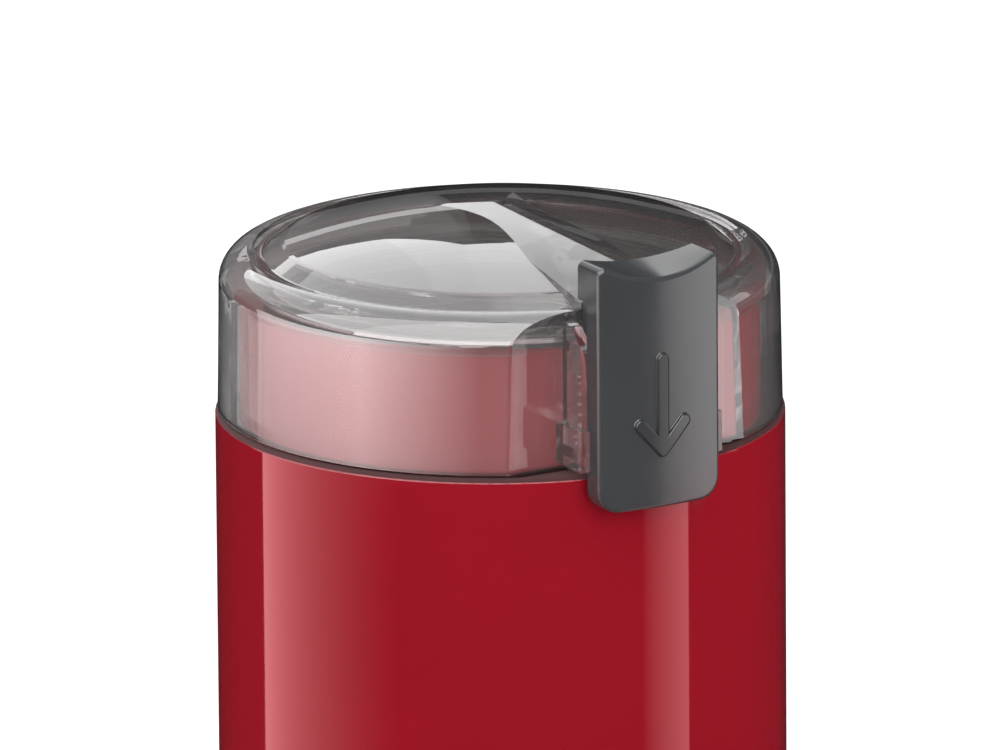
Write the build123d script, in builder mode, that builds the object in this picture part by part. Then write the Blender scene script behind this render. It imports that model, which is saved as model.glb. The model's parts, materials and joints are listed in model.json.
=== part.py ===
from build123d import *
import os
from math import cos, pi, radians, sin, sqrt

os.makedirs("parts", exist_ok=True)

# Electric coffee grinder. The motor's axis is Z, the foot ring stands on z = 0 and the button faces -Y.
# Lengths are millimetres. A "reach" is a distance from the axis towards the button, along -Y.

# Fits
running_gap = 0.05
sliding_gap = 0.3
loose_gap = 0.6
thread_gap = 0.05
overrun = 3.0

# Housing: red shell, ledge at the seam and collar under the lid
body_radius = 45.0
seam_height = 141.0
shell_wall = 2.5
shell_bottom = 4.4
shell_edge_round = 0.7
shell_inner = body_radius - shell_wall
ledge_thickness = 2.5
collar_wall = 2.2
collar_top_gap = 1.7
collar_side_gap = 1.5
collar_flat_gap = 0.8
flange_thickness = 2.2
tongue_slot_gap = 0.5
boss_radius = 3.6
boss_inset = 3.2
boss_circle_radius = shell_inner - boss_inset
pilot_radius = 1.5
base_boss_bottom = 8.8
base_boss_top = 26.0
boss_count = 3
base_boss_turn = 30.0
deck_boss_turn = 90.0

# Lid: smoked clear cap
lid_wall = 2.0
lid_inset = 0.4
lid_draft = 0.35
lid_bottom_radius = body_radius - lid_inset
lid_shoulder_radius = lid_bottom_radius - lid_draft
lid_shoulder_height = 20.7
shoulder_round = 5.0
seam_gap = 0.6
seat_width = 1.0
valley_drop = 0.7
valley_bottom = lid_shoulder_height + shoulder_round - valley_drop
valley_side_width = 0.75
valley_width = 1.1
dome_side_width = 3.2
valley_outer = lid_shoulder_radius - shoulder_round - valley_side_width
valley_inner = valley_outer - valley_width
dome_radius = valley_inner - dome_side_width
dome_side_height = 2.1
dome_rise = 5.2
dome_rim_round = 3.0
valley_round = 1.0
dome_edge = valley_bottom + dome_side_height
dome_apex = dome_edge + dome_rise
lid_floor_step = 2.2
lid_floor_thickness = 1.8
lid_floor_inner = dome_radius + lid_floor_step
lid_floor_height = valley_bottom - lid_floor_thickness
lid_flat_inset = 5.8
lid_flat_reach = body_radius - lid_flat_inset

# Collar of the housing, under the lid
collar_radius = lid_bottom_radius - lid_wall - collar_side_gap
collar_height = lid_shoulder_height - collar_top_gap
collar_flat_reach = lid_flat_reach - lid_wall - collar_flat_gap

# Finger ridge on the lid, from the middle of the dome to the button
ridge_back = -9.0
ridge_start = 0.9
ridge_middle = 15.5
ridge_rise = 1.1
ridge_fall = 1.5
ridge_crest_half = 0.9
ridge_half = 8.0
ridge_back_sink = 0.7
ridge_middle_sink = 1.7
ridge_front_sink = 5.7
ridge_root = 0.8
ridge_crest_back = dome_apex + ridge_rise
ridge_low = valley_bottom - ridge_root

# Button slide on the lid's flat
rail_half = 9.6
rail_thickness = 1.8
rail_depth = 5.6
rail_drop = 0.8
rail_root = 0.6
rail_top_width = 0.7
rail_lip_width = 2.0
rail_lip_thickness = 1.2
rail_reach = lid_flat_reach + rail_depth
rail_top = valley_bottom - rail_drop
rail_round = rail_depth + rail_root - rail_top_width
lip_back_reach = rail_reach - rail_lip_thickness
slide_gap = 0.4
plate_drop = 8.2
plate_gap = 0.8
plate_foot_height = 3.0
plate_low = rail_top - plate_drop
plate_foot_top = plate_low + plate_foot_height
plate_back_reach = lid_flat_reach + plate_gap
plate_front_reach = lip_back_reach - slide_gap
stop_low = plate_foot_top + sliding_gap
stop_height = 1.6
stop_width = 1.0
spring_shelf_low = 2.6
spring_shelf_thickness = 1.8
spring_shelf_half = 5.0
spring_shelf_top = spring_shelf_low + spring_shelf_thickness

# Push button
button_half = 10.9
button_notch_gap = 0.9
button_side_depth = 3.6
button_bulge = 1.0
button_back_inset = 1.7
button_notch_reach = rail_reach + button_notch_gap
button_side_reach = button_notch_reach + button_side_depth
button_front_reach = button_side_reach + button_bulge
button_back_reach = rail_reach - button_back_inset
button_travel = 4.0
button_roof = 3.5
button_dish = 2.6
button_dish_back = 1.1
button_bottom = -5.0
button_notch_top = rail_top + button_travel + sliding_gap
dish_bottom = button_notch_top + button_roof
button_top = dish_bottom + button_dish
button_corner = 3.6
button_top_corner = 1.2
button_edge_round = 0.7
button_wall = 1.8
dish_half = button_half - button_top_corner
plate_foot_half = rail_half - slide_gap
plate_half = plate_foot_half - stop_width
web_half = 5.0
web_rise = 1.0
web_low = plate_low + web_rise
tongue_half = 4.0
tongue_thickness = 2.1
tongue_front_reach = plate_back_reach + tongue_thickness
tongue_bottom = -4.1
cheek_half = button_half + sliding_gap
cheek_thickness = 1.5
cheek_depth = 2.2
cheek_reach = rail_reach + cheek_depth
cheek_low = 1.6
cheek_high = 8.1
arrow_top = 19.9
arrow_tip = 2.4
arrow_barb = 9.6
arrow_barb_half = 4.9
arrow_line = 1.9
arrow_height = 0.45

# Button springs
button_spring_side = 7.2
button_spring_reach = (plate_back_reach + plate_front_reach) / 2
button_spring_radius = 1.5
button_spring_wire = 0.25
button_spring_turns = 6

# Grinding cup
cup_sheet_thickness = 0.8
cup_rim_gap = 0.6
cup_rim_width = 3.6
cup_rim_radius = lid_flat_reach - lid_wall - cup_rim_gap
cup_radius = cup_rim_radius - cup_rim_width
cup_rim_round = 1.2
cup_depth = 38.8
cup_corner = 10.0
cup_hole_radius = 6.4
flange_bore = cup_radius + cup_sheet_thickness + loose_gap
gasket_inner = flange_bore + sliding_gap
gasket_outer = cup_rim_radius - sliding_gap
gasket_thickness = 0.8
collar_top = seam_height + collar_height
cup_rim_low = collar_top + gasket_thickness
cup_rim_top = cup_rim_low + cup_sheet_thickness
cup_floor_height = cup_rim_top - cup_depth
cup_underside = cup_floor_height - cup_sheet_thickness

# Shaft, seal and blade
shaft_radius = 4.0
journal_radius = 3.0
stud_radius = 2.5
seal_depth = 4.2
seal_rise = 1.4
seal_bottom = cup_floor_height - seal_depth
seal_top = cup_floor_height + seal_rise
seal_flange_radius = 8.4
seal_flange_thickness = 1.0
hub_radius = 7.0
hub_height = 3.8
stud_length = 9.4
stud_bottom = seal_top + slide_gap
stud_top = stud_bottom + stud_length
hub_top = stud_bottom + hub_height
blade_thickness = 1.5
blade_half_width = 5.6
blade_tip_gap = 5.0
blade_reach = cup_radius - blade_tip_gap
blade_bend = 14.0
blade_rise = 5.0
blade_tip_round = 3.0
nut_half_flat = 4.0
nut_sides = 6
nut_height = 4.6
nut_chamfer = 0.6

# Heights of the inner floor and the motor, counted down from the cup
deck_drop = 10.8
deck_thickness = 3.0
deck_boss_height = 7.0
deck_low = cup_floor_height - deck_drop
deck_top = deck_low + deck_thickness
deck_boss_top = deck_low + deck_boss_height
damper_height = 6.0
bracket_thickness = 3.0
top_bracket_low = deck_low - damper_height - bracket_thickness
bearing_floor = 2.6
top_bearing_height = 8.8
top_bearing_low = top_bracket_low + bearing_floor
top_bearing_high = top_bearing_low + top_bearing_height
top_post_height = 10.0
stack_height = 30.0
stack_top = top_bracket_low - top_post_height
stack_bottom = stack_top - stack_height
commutator_drop = 9.0
commutator_length = 8.8
commutator_top = stack_bottom - commutator_drop
commutator_bottom = commutator_top - commutator_length
brush_rise = 3.8
brush_height = commutator_bottom + brush_rise
brush_drop = 10.4
bottom_bracket_low = brush_height - brush_drop
bottom_bearing_drop = 4.4
bottom_bearing_height = 8.0
bottom_bearing_low = bottom_bracket_low - bottom_bearing_drop
bottom_bearing_high = bottom_bearing_low + bottom_bearing_height
journal_rise = 5.0
journal_top = bottom_bracket_low + journal_rise
shaft_bottom = bottom_bearing_low - loose_gap

# Motor
armature_radius = 16.0
air_gap = 0.6
shoe_thickness = 2.6
coil_gap = 0.4
coil_thickness = 4.0
window_gap = 0.9
frame_width_x = 7.5
frame_width_y = 4.0
bore_radius = armature_radius + air_gap
shoe_radius = bore_radius + shoe_thickness
coil_inner_x = shoe_radius + coil_gap
coil_outer_x = coil_inner_x + coil_thickness
window_half_x = coil_outer_x + window_gap
stator_half_x = window_half_x + frame_width_x
pole_half_y = 8.5
coil_build = 6.5
coil_side_gap = 2.7
window_half_y = pole_half_y + coil_gap + coil_build + coil_side_gap
stator_half_y = window_half_y + frame_width_y
stator_corner = 14.0
window_corner = 5.0
shoe_width = 6.0
shoe_half_y = pole_half_y + shoe_width
coil_overhang = 7.0
coil_corner = 4.0
coil_hole_corner = 0.8
slot_count = 12
slot_width = 2.6
slot_depth = 4.8
slot_mouth_depth = 1.8
slot_mouth = 1.2
slot_high = armature_radius - slot_mouth_depth
slot_low = slot_high - slot_depth
winding_gap = 0.12
winding_overhang = 7.0
winding_rim = 1.6
winding_hub_gap = 1.2
winding_inner = shaft_radius + winding_hub_gap
winding_outer = armature_radius - winding_rim
winding_round = 2.2
winding_root = 1.5
commutator_radius = 9.0
riser_radius = 10.6
riser_thickness = 1.6
segment_count = 16
segment_slit = 0.5
segment_depth = 0.9
screw_inset = 3.8
screw_side = stator_half_x - screw_inset
motor_screw_radius = 1.6
motor_screw_head = 3.2
motor_screw_head_height = 2.4
motor_screw_grip = 5.0
motor_screw_top = deck_low + motor_screw_grip
bracket_over = 1.0
bracket_half_x = stator_half_x + bracket_over
bracket_half_y = 8.0
bracket_post = 4.0
bearing_radius = 6.8
bearing_cup_wall = 2.0
bearing_chamfer = 1.4
damper_radius = 6.0

# Brush gear
brush_plate_radius = 23.0
brush_plate_hole_gap = 0.8
brush_plate_hole = riser_radius + brush_plate_hole_gap
brush_plate_thickness = 2.0
brush_half_width = 2.5
brush_half_height = 3.0
brush_back = 18.0
holder_wall = 0.9
holder_inner = 11.2
holder_outer = 23.6
holder_cap = 1.0
brush_spring_radius = 1.5
brush_spring_wire = 0.22
brush_spring_turns = 4

# Inner floor that carries motor and switch
deck_radius = shell_inner - loose_gap
deck_hole = 10.4
deck_boss_radius = 4.6
rod_guide_radius = 4.2
deck_screw_head = 3.0
deck_screw_head_height = 2.2
deck_screw_grip = 16.0
deck_screw_top = deck_low + deck_screw_grip
switch_wall_half = 9.0
switch_wall_thickness = 1.8

# Switch
rod_inset = 4.7
rod_reach = shell_inner - rod_inset
switch_half = 8.0
switch_back_depth = 4.6
switch_front_depth = 2.8
switch_wall_reach = rod_reach - switch_back_depth
switch_front_reach = rod_reach + switch_front_depth
switch_drop = 17.0
switch_height = 16.0
switch_wall_drop = 3.0
switch_high = deck_low - switch_drop
switch_low = switch_high - switch_height
switch_wall_low = switch_low - switch_wall_drop
switch_edge_round = 0.8
rod_radius = 2.4
plunger_rise = 6.0
rod_bottom = switch_high + plunger_rise
rod_cap_height = 3.0
rod_cap_half = 6.0
rod_cap_back_depth = 3.0
rod_cap_front_depth = 4.2
rod_cap_top = seam_height + tongue_bottom - sliding_gap
rod_cap_low = rod_cap_top - rod_cap_height
rod_cap_back_reach = rod_reach - rod_cap_back_depth
rod_cap_front_reach = rod_reach + rod_cap_front_depth
plunger_radius = 1.7
plunger_depth = 5.0
plunger_bottom = switch_high - plunger_depth
plunger_hole_bottom = plunger_bottom - button_travel - loose_gap
rod_spring_radius = 3.3
rod_spring_wire = 0.3
rod_spring_turns = 6
terminal_side = 4.6
terminal_half_width = 2.4
terminal_half_thickness = 0.4
terminal_length = 8.0
terminal_bottom = switch_low - terminal_length
terminal_root = 2.0
switch_screw_side = 5.6
switch_screw_height = (switch_low + switch_high) / 2
switch_screw_radius = 0.9
switch_screw_head = 1.7
switch_screw_head_height = 0.9

# Capacitor
capacitor_half_x = 8.5
capacitor_gap = 1.7
capacitor_half_y = 3.6
capacitor_y = boss_circle_radius - deck_screw_head - capacitor_gap - capacitor_half_y
capacitor_height = 14.0
capacitor_round = 0.8

# Underside
cover_bottom = 1.6
cover_inset = 0.8
cover_radius = body_radius - cover_inset
cover_edge_chamfer = 0.8
spigot_gap = 0.5
spigot_radius = shell_inner - spigot_gap
spigot_wall = 1.8
spigot_top = 8.0
base_screw_radius = 1.45
base_screw_hole = 1.8
base_screw_head = 3.0
base_screw_head_height = 1.5
base_screw_top = 22.0
foot_gap = 1.3
foot_width = 7.0
foot_outer = boss_circle_radius - base_screw_head - foot_gap
foot_inner = foot_outer - foot_width
foot_sunk = 1.0
foot_edge_round = 0.5
vent_count = 10
vent_inner = 9.0
vent_gap = 5.0
vent_outer = foot_inner - vent_gap
vent_width = 2.6

# Cord gland
gland_height = 17.0
gland_seat_depth = 1.4
gland_seat = body_radius - gland_seat_depth
gland_flange_radius = 6.4
gland_flange_thickness = 2.2
gland_neck_radius = 4.6
gland_lip_radius = 5.6
gland_lip_thickness = 2.0
inlet_length = 5.6
inlet_width = 3.6

full_turn = 360.0


def above_seam(height):
    """Height over the table of a height measured from the seam."""
    return seam_height + height


def polar(radius, angle):
    """Point on a circle around the axis."""
    return (radius * cos(radians(angle)), radius * sin(radians(angle)))


def slab(outline, low, high, mode=Mode.ADD):
    """Straight wall over a flat outline between two heights."""
    extrude(outline.sketch.moved(Location((0, 0, low))), amount=high - low, mode=mode)


def rod(radius, low, high, x=0, y=0, mode=Mode.ADD):
    """Upright round bar."""
    with BuildSketch(mode=Mode.PRIVATE) as circle:
        with Locations((x, y)):
            Circle(radius)
    slab(circle, low, high, mode)


def block(x_low, x_high, reach_low, reach_high, low, high, mode=Mode.ADD):
    """Upright box between two reaches towards the button."""
    with BuildSketch(mode=Mode.PRIVATE) as rectangle:
        with Locations(((x_low + x_high) / 2, -(reach_low + reach_high) / 2)):
            Rectangle(x_high - x_low, reach_high - reach_low)
    slab(rectangle, low, high, mode)


def coil(radius, wire, length, turns):
    """Compression spring on Z from z = 0: one tube on quarter turns of two arcs, straight at both ends."""
    rise = length - 2 * wire
    steps = 4 * turns
    slope = rise / (2 * pi * radius * turns)
    scale = 1 / sqrt(1 + slope**2)

    def point(step):
        angle = step * pi / 2
        return Vector(radius * cos(angle), radius * sin(angle), wire + rise * step / steps)

    def heading(step):
        angle = step * pi / 2
        return Vector(-sin(angle) * scale, cos(angle) * scale, slope * scale)

    samples = []
    with BuildLine() as path:
        Line(point(0) - heading(0) * (2 * wire), point(0))
        for step in range(steps):
            start, end = point(step), point(step + 1)
            out, back = heading(step), heading(step + 1)
            chord = end - start
            bend = 1 - out.dot(back)
            lean = chord.dot(out + back)
            arm = (sqrt(lean**2 + 2 * bend * chord.dot(chord)) - lean) / (2 * bend)
            middle = (start + end + (out - back) * arm) * (1 / 2)
            along = (middle - start).normalized()
            turned = along * (2 * out.dot(along)) - out
            TangentArc(start, middle, tangent=out)
            TangentArc(middle, end, tangent=turned)
            samples += [start, middle]
        Line(point(steps), point(steps) + heading(steps) * (2 * wire))
    with BuildSketch(Plane(origin=path.line @ 0, z_dir=path.line % 0)) as section:
        Circle(wire)
    sweep(section.sketch, path=path.line)
    pairs = [(a, b) for a in range(len(samples)) for b in range(a) if a - b > steps / turns]
    spacing = min((samples[a] - samples[b]).length for a, b in pairs)
    print("spring gap to itself", round(spacing - 2 * wire, 2))


# Outlines shared by the housing and the lid: circles with a flat towards the button
with BuildSketch() as collar_outside:
    Circle(collar_radius)
    with Locations((0, -collar_flat_reach - collar_radius)):
        Rectangle(2 * collar_radius, 2 * collar_radius, mode=Mode.SUBTRACT)
with BuildSketch() as collar_inside:
    Circle(collar_radius - collar_wall)
    with Locations((0, -collar_flat_reach + collar_wall - collar_radius)):
        Rectangle(2 * collar_radius, 2 * collar_radius, mode=Mode.SUBTRACT)
with BuildSketch() as shell_ring:
    Circle(body_radius)
    Circle(shell_inner, mode=Mode.SUBTRACT)
with BuildSketch() as ledge_ring:
    Circle(body_radius)
    add(collar_inside.sketch, mode=Mode.SUBTRACT)
with BuildSketch() as collar_ring:
    add(collar_outside.sketch)
    add(collar_inside.sketch, mode=Mode.SUBTRACT)
with BuildSketch() as collar_flange:
    add(collar_outside.sketch)
    Circle(flange_bore, mode=Mode.SUBTRACT)

with BuildPart() as housing:
    slab(shell_ring, shell_bottom, seam_height - ledge_thickness)
    slab(ledge_ring, seam_height - ledge_thickness, seam_height)
    slab(collar_ring, seam_height, collar_top)
    slab(collar_flange, collar_top - flange_thickness, collar_top)
    fillet(
        housing.edges().filter_by(GeomType.CIRCLE).sort_by(SortBy.RADIUS).filter_by_position(
            Axis.Z, seam_height, seam_height
        )[-1],
        radius=shell_edge_round,
    )
    # Screw bosses for the base cover below and for the inner floor above
    for index in range(boss_count):
        turn = index * full_turn / boss_count
        x, y = polar(boss_circle_radius, base_boss_turn + turn)
        rod(boss_radius, base_boss_bottom, base_boss_top, x, y)
        rod(pilot_radius, base_boss_bottom, base_boss_top, x, y, Mode.SUBTRACT)
        x, y = polar(boss_circle_radius, deck_boss_turn + turn)
        rod(boss_radius, deck_top, seam_height - ledge_thickness, x, y)
        rod(pilot_radius, deck_top, deck_screw_top + overrun, x, y, Mode.SUBTRACT)
    # Slot that the button's tongue goes through
    block(
        -tongue_half - 2 * tongue_slot_gap,
        tongue_half + 2 * tongue_slot_gap,
        plate_back_reach - tongue_slot_gap,
        tongue_front_reach + sliding_gap,
        seam_height - ledge_thickness,
        seam_height,
        Mode.SUBTRACT,
    )
    # Seat and hole for the cord gland at the back
    with BuildSketch(Plane.XZ.offset(-gland_seat)):
        with Locations((0, gland_height)):
            Circle(gland_flange_radius + sliding_gap)
    extrude(amount=-(body_radius - gland_seat + overrun), mode=Mode.SUBTRACT)
    with BuildSketch(Plane.XZ.offset(-shell_inner + overrun)):
        with Locations((0, gland_height)):
            Circle(gland_neck_radius + running_gap)
    extrude(amount=-(shell_wall + 2 * overrun), mode=Mode.SUBTRACT)
housing.part.label = "housing"
export_step(housing.part, "parts/housing.step")

# Lid: outer body, then the hollow that is taken out of it
with BuildPart() as lid_hollow:
    with BuildSketch(Plane.XZ) as hollow_profile:
        with BuildLine():
            inner_apex = (0, above_seam(dome_apex - lid_wall))
            inner_dome = (dome_radius - lid_wall / 2, above_seam(dome_edge - lid_wall))
            inner_corner = (lid_floor_inner, above_seam(lid_floor_height))
            inner_shoulder = (lid_shoulder_radius - shoulder_round, above_seam(lid_floor_height))
            inner_wall = (lid_shoulder_radius - lid_wall, above_seam(lid_shoulder_height))
            inner_foot = (lid_bottom_radius - lid_wall, seam_height)
            TangentArc(inner_apex, inner_dome, tangent=(1, 0))
            Polyline(inner_dome, inner_corner, inner_shoulder)
            TangentArc(inner_shoulder, inner_wall, tangent=(1, 0))
            Polyline(inner_wall, inner_foot, (inner_foot[0], seam_height - overrun))
            Polyline((inner_foot[0], seam_height - overrun), (0, seam_height - overrun), inner_apex)
        make_face()
        fillet(hollow_profile.vertices().sort_by_distance(inner_dome)[0], radius=dome_rim_round)
        fillet(hollow_profile.vertices().sort_by_distance(inner_corner)[0], radius=valley_round)
    revolve(axis=Axis.Z)
    block(
        -body_radius,
        body_radius,
        lid_flat_reach - lid_wall,
        2 * body_radius,
        seam_height - 2 * overrun,
        above_seam(dome_apex),
        Mode.SUBTRACT,
    )

with BuildPart() as finger_ridge:
    ridge_length = lid_flat_reach - ridge_back
    for reach, sink in (
        (ridge_back, ridge_back_sink),
        (ridge_middle, ridge_middle_sink),
        (lid_flat_reach, ridge_front_sink),
    ):
        crest = above_seam(ridge_crest_back - ridge_fall * (reach - ridge_back) / ridge_length)
        foot = above_seam(dome_apex - sink)
        with BuildSketch(Plane.XZ.offset(reach)):
            with BuildLine():
                Polyline(
                    (-ridge_half, above_seam(ridge_low)),
                    (-ridge_half, foot),
                    (-ridge_crest_half, crest),
                    (ridge_crest_half, crest),
                    (ridge_half, foot),
                    (ridge_half, above_seam(ridge_low)),
                    close=True,
                )
            make_face()
    loft()
    # Notch at the back end, so that the flanks start behind the crest
    with BuildSketch(Plane.XY.offset(above_seam(ridge_low))):
        with BuildLine():
            Polyline(
                (-ridge_half, -ridge_back),
                (0, -ridge_start),
                (ridge_half, -ridge_back),
                (ridge_half, -ridge_back + overrun),
                (-ridge_half, -ridge_back + overrun),
                close=True,
            )
        make_face()
    extrude(amount=ridge_crest_back - ridge_low + overrun, mode=Mode.SUBTRACT)

with BuildPart() as lid:
    with BuildSketch(Plane.XZ) as lid_profile:
        with BuildLine():
            apex = (0, above_seam(dome_apex))
            dome_rim = (dome_radius, above_seam(dome_edge))
            valley_in = (valley_inner, above_seam(valley_bottom))
            valley_out = (valley_outer, above_seam(valley_bottom))
            shoulder_top = (inner_shoulder[0], above_seam(lid_shoulder_height + shoulder_round))
            shoulder_foot = (lid_shoulder_radius, above_seam(lid_shoulder_height))
            skirt = (lid_bottom_radius, above_seam(seam_gap))
            seat_edge = lid_bottom_radius - lid_wall + seat_width
            TangentArc(apex, dome_rim, tangent=(1, 0))
            Polyline(dome_rim, valley_in, valley_out, shoulder_top)
            TangentArc(shoulder_top, shoulder_foot, tangent=(1, 0))
            Polyline(
                shoulder_foot,
                skirt,
                (seat_edge, above_seam(seam_gap)),
                (seat_edge, seam_height),
                (0, seam_height),
                apex,
            )
        make_face()
        fillet(lid_profile.vertices().sort_by_distance(dome_rim)[0], radius=dome_rim_round)
        for corner in (valley_in, valley_out, shoulder_top):
            fillet(lid_profile.vertices().sort_by_distance(corner)[0], radius=valley_round)
    revolve(axis=Axis.Z)
    # Flat front face
    block(
        -body_radius,
        body_radius,
        lid_flat_reach,
        2 * body_radius,
        seam_height - overrun,
        above_seam(dome_apex + overrun),
        Mode.SUBTRACT,
    )
    add(finger_ridge.part)
    add(lid_hollow.part, mode=Mode.SUBTRACT)
    # Rails of the button's slide, each with a lip, a stop, a spring shelf and a cheek
    root_reach = lid_flat_reach - rail_root
    for side in (-1, 1):
        with BuildSketch(Plane.YZ.offset(side * rail_half)):
            with BuildLine():
                rail_back = -root_reach
                FilletPolyline(
                    (rail_back, above_seam(seam_gap)),
                    (-rail_reach, above_seam(seam_gap)),
                    (-rail_reach, above_seam(rail_top)),
                    (rail_back, above_seam(rail_top)),
                    radius=(rail_root, rail_round),
                )
                Line((rail_back, above_seam(rail_top)), (rail_back, above_seam(seam_gap)))
            make_face()
        extrude(amount=side * rail_thickness)
        inner, outer = sorted((side * (rail_half - rail_lip_width), side * (rail_half + rail_root)))
        lip_low = above_seam(seam_gap + rail_root)
        block(inner, outer, lip_back_reach, rail_reach, lip_low, above_seam(rail_top - rail_round))
        inner, outer = sorted((side * (rail_half - stop_width), side * (rail_half + rail_root)))
        stop_top = above_seam(stop_low + stop_height)
        block(inner, outer, root_reach, lip_back_reach, above_seam(stop_low), stop_top)
        inner, outer = sorted((side * spring_shelf_half, side * (rail_half + rail_root)))
        shelf_low = above_seam(spring_shelf_low)
        block(inner, outer, root_reach, plate_front_reach, shelf_low, above_seam(spring_shelf_top))
        inner, outer = sorted((side * cheek_half, side * (cheek_half + cheek_thickness)))
        block(inner, outer, root_reach, cheek_reach, above_seam(cheek_low), above_seam(cheek_high))
        inner, outer = sorted((side * (rail_half + rail_root), side * (cheek_half + rail_root)))
        block(inner, outer, root_reach, rail_reach, above_seam(cheek_low), above_seam(cheek_high))
lid.part.label = "lid"
export_step(lid.part, "parts/lid.step")

# Push button: rounded cap over a slide plate and a tongue
arrow_root_reach = button_side_reach - button_wall / 2
with BuildPart() as arrow:
    with BuildSketch(Plane.XZ.offset(arrow_root_reach)):
        with BuildLine():
            Line((0, above_seam(arrow_top - arrow_line / 2)), (0, above_seam(arrow_tip + arrow_line)))
        trace(line_width=arrow_line)
        for side in (-1, 1):
            with BuildLine():
                Line(
                    (0, above_seam(arrow_tip + arrow_line)),
                    (side * (arrow_barb_half - arrow_line / 2), above_seam(arrow_barb - arrow_line / 2)),
                )
            trace(line_width=arrow_line)
        ends = [
            (0, above_seam(arrow_top - arrow_line / 2)),
            (0, above_seam(arrow_tip + arrow_line)),
            (-arrow_barb_half + arrow_line / 2, above_seam(arrow_barb - arrow_line / 2)),
            (arrow_barb_half - arrow_line / 2, above_seam(arrow_barb - arrow_line / 2)),
        ]
        with Locations(*ends):
            Circle(arrow_line / 2)
    extrude(amount=button_front_reach - arrow_root_reach + overrun)
    with BuildSketch(Plane.XY.offset(above_seam(button_bottom))):
        with BuildLine():
            Bezier(
                (-button_half, -button_side_reach - arrow_height),
                (0, button_side_reach - 2 * button_front_reach - arrow_height),
                (button_half, -button_side_reach - arrow_height),
            )
            Polyline(
                (button_half, -button_side_reach - arrow_height),
                (button_half, -arrow_root_reach),
                (-button_half, -arrow_root_reach),
                (-button_half, -button_side_reach - arrow_height),
            )
        make_face()
    extrude(amount=button_top - button_bottom, mode=Mode.INTERSECT)

with BuildPart() as finger_dish:
    for reach, dip in ((button_back_reach, button_dish_back), (button_front_reach, button_dish)):
        with BuildSketch(Plane.XZ.offset(reach)):
            with BuildLine():
                ThreePointArc(
                    (-dish_half, above_seam(button_top)),
                    (0, above_seam(button_top - dip)),
                    (dish_half, above_seam(button_top)),
                )
                Polyline(
                    (dish_half, above_seam(button_top)),
                    (dish_half, above_seam(button_top + overrun)),
                    (-dish_half, above_seam(button_top + overrun)),
                    (-dish_half, above_seam(button_top)),
                )
            make_face()
    loft()

with BuildPart() as push_button:
    with BuildSketch(Plane.XY.offset(above_seam(button_bottom))):
        with BuildLine():
            Bezier(
                (-button_half, -button_side_reach),
                (0, button_side_reach - 2 * button_front_reach),
                (button_half, -button_side_reach),
            )
            Polyline(
                (button_half, -button_side_reach),
                (button_half, -button_back_reach),
                (-button_half, -button_back_reach),
                (-button_half, -button_side_reach),
            )
        make_face()
    extrude(amount=button_top - button_bottom)
    # Front outline with rounded corners, and the finger dish that deepens towards the front
    with BuildSketch(Plane.XZ) as button_front:
        with Locations((0, above_seam((button_bottom + button_top) / 2))):
            Rectangle(2 * button_half, button_top - button_bottom)
        fillet(button_front.vertices().group_by(Axis.Y)[0], radius=button_corner)
        fillet(button_front.vertices().group_by(Axis.Y)[-1], radius=button_top_corner)
    extrude(amount=button_front_reach + overrun, mode=Mode.INTERSECT)
    add(finger_dish.part, mode=Mode.SUBTRACT)
    fillet(push_button.faces().sort_by(Axis.Y)[0].edges(), radius=button_edge_round)
    # Room behind the front wall, open towards the lid
    block(
        -button_half,
        button_half,
        button_back_reach - overrun,
        button_notch_reach,
        above_seam(button_bottom - overrun),
        above_seam(button_notch_top),
        Mode.SUBTRACT,
    )
    block(
        -button_half + button_wall,
        button_half - button_wall,
        button_notch_reach - overrun,
        button_side_reach - button_wall,
        above_seam(button_bottom + button_wall),
        above_seam(button_notch_top),
        Mode.SUBTRACT,
    )
    # Roof behind the finger dish, slide plate, web and tongue
    roof_low = above_seam(button_notch_top)
    roof_top = above_seam(dish_bottom)
    block(-plate_half, plate_half, plate_back_reach, button_notch_reach, roof_low, roof_top)
    block(-plate_half, plate_half, plate_back_reach, plate_front_reach, above_seam(plate_low), roof_top)
    block(
        -plate_foot_half,
        plate_foot_half,
        plate_back_reach,
        plate_front_reach,
        above_seam(plate_low),
        above_seam(plate_foot_top),
    )
    block(-web_half, web_half, plate_back_reach, button_side_reach, above_seam(web_low), roof_top)
    tongue_low = above_seam(tongue_bottom)
    block(-tongue_half, tongue_half, plate_back_reach, tongue_front_reach, tongue_low, above_seam(web_low))
    add(arrow.part)
push_button.part.label = "push_button"
export_step(push_button.part, "parts/push_button.step")

# Return springs of the button, standing on the lid's shelves
with BuildPart() as button_spring:
    coil(
        button_spring_radius,
        button_spring_wire,
        plate_low - spring_shelf_top - 2 * running_gap,
        button_spring_turns,
    )
with BuildPart() as button_springs:
    for side in (-1, 1):
        place = (side * button_spring_side, -button_spring_reach, above_seam(spring_shelf_top) + running_gap)
        add(button_spring.part.moved(Location(place)))
button_springs.part.label = "button_springs"
export_step(button_springs.part, "parts/button_springs.step")

# Grinding cup, pressed from sheet, with its rim on the collar
with BuildPart() as grinding_cup:
    with BuildSketch(Plane.XZ):
        with BuildLine():
            FilletPolyline(
                (cup_hole_radius, cup_floor_height),
                (cup_radius, cup_floor_height),
                (cup_radius, cup_rim_top),
                (cup_rim_radius, cup_rim_top),
                radius=(cup_corner, cup_rim_round),
            )
            Line((cup_rim_radius, cup_rim_top), (cup_rim_radius, cup_rim_low))
            FilletPolyline(
                (cup_rim_radius, cup_rim_low),
                (cup_radius + cup_sheet_thickness, cup_rim_low),
                (cup_radius + cup_sheet_thickness, cup_underside),
                (cup_hole_radius, cup_underside),
                radius=(cup_rim_round - cup_sheet_thickness, cup_corner + cup_sheet_thickness),
            )
            Line((cup_hole_radius, cup_underside), (cup_hole_radius, cup_floor_height))
        make_face()
    revolve(axis=Axis.Z)
grinding_cup.part.label = "grinding_cup"
export_step(grinding_cup.part, "parts/grinding_cup.step")

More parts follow.
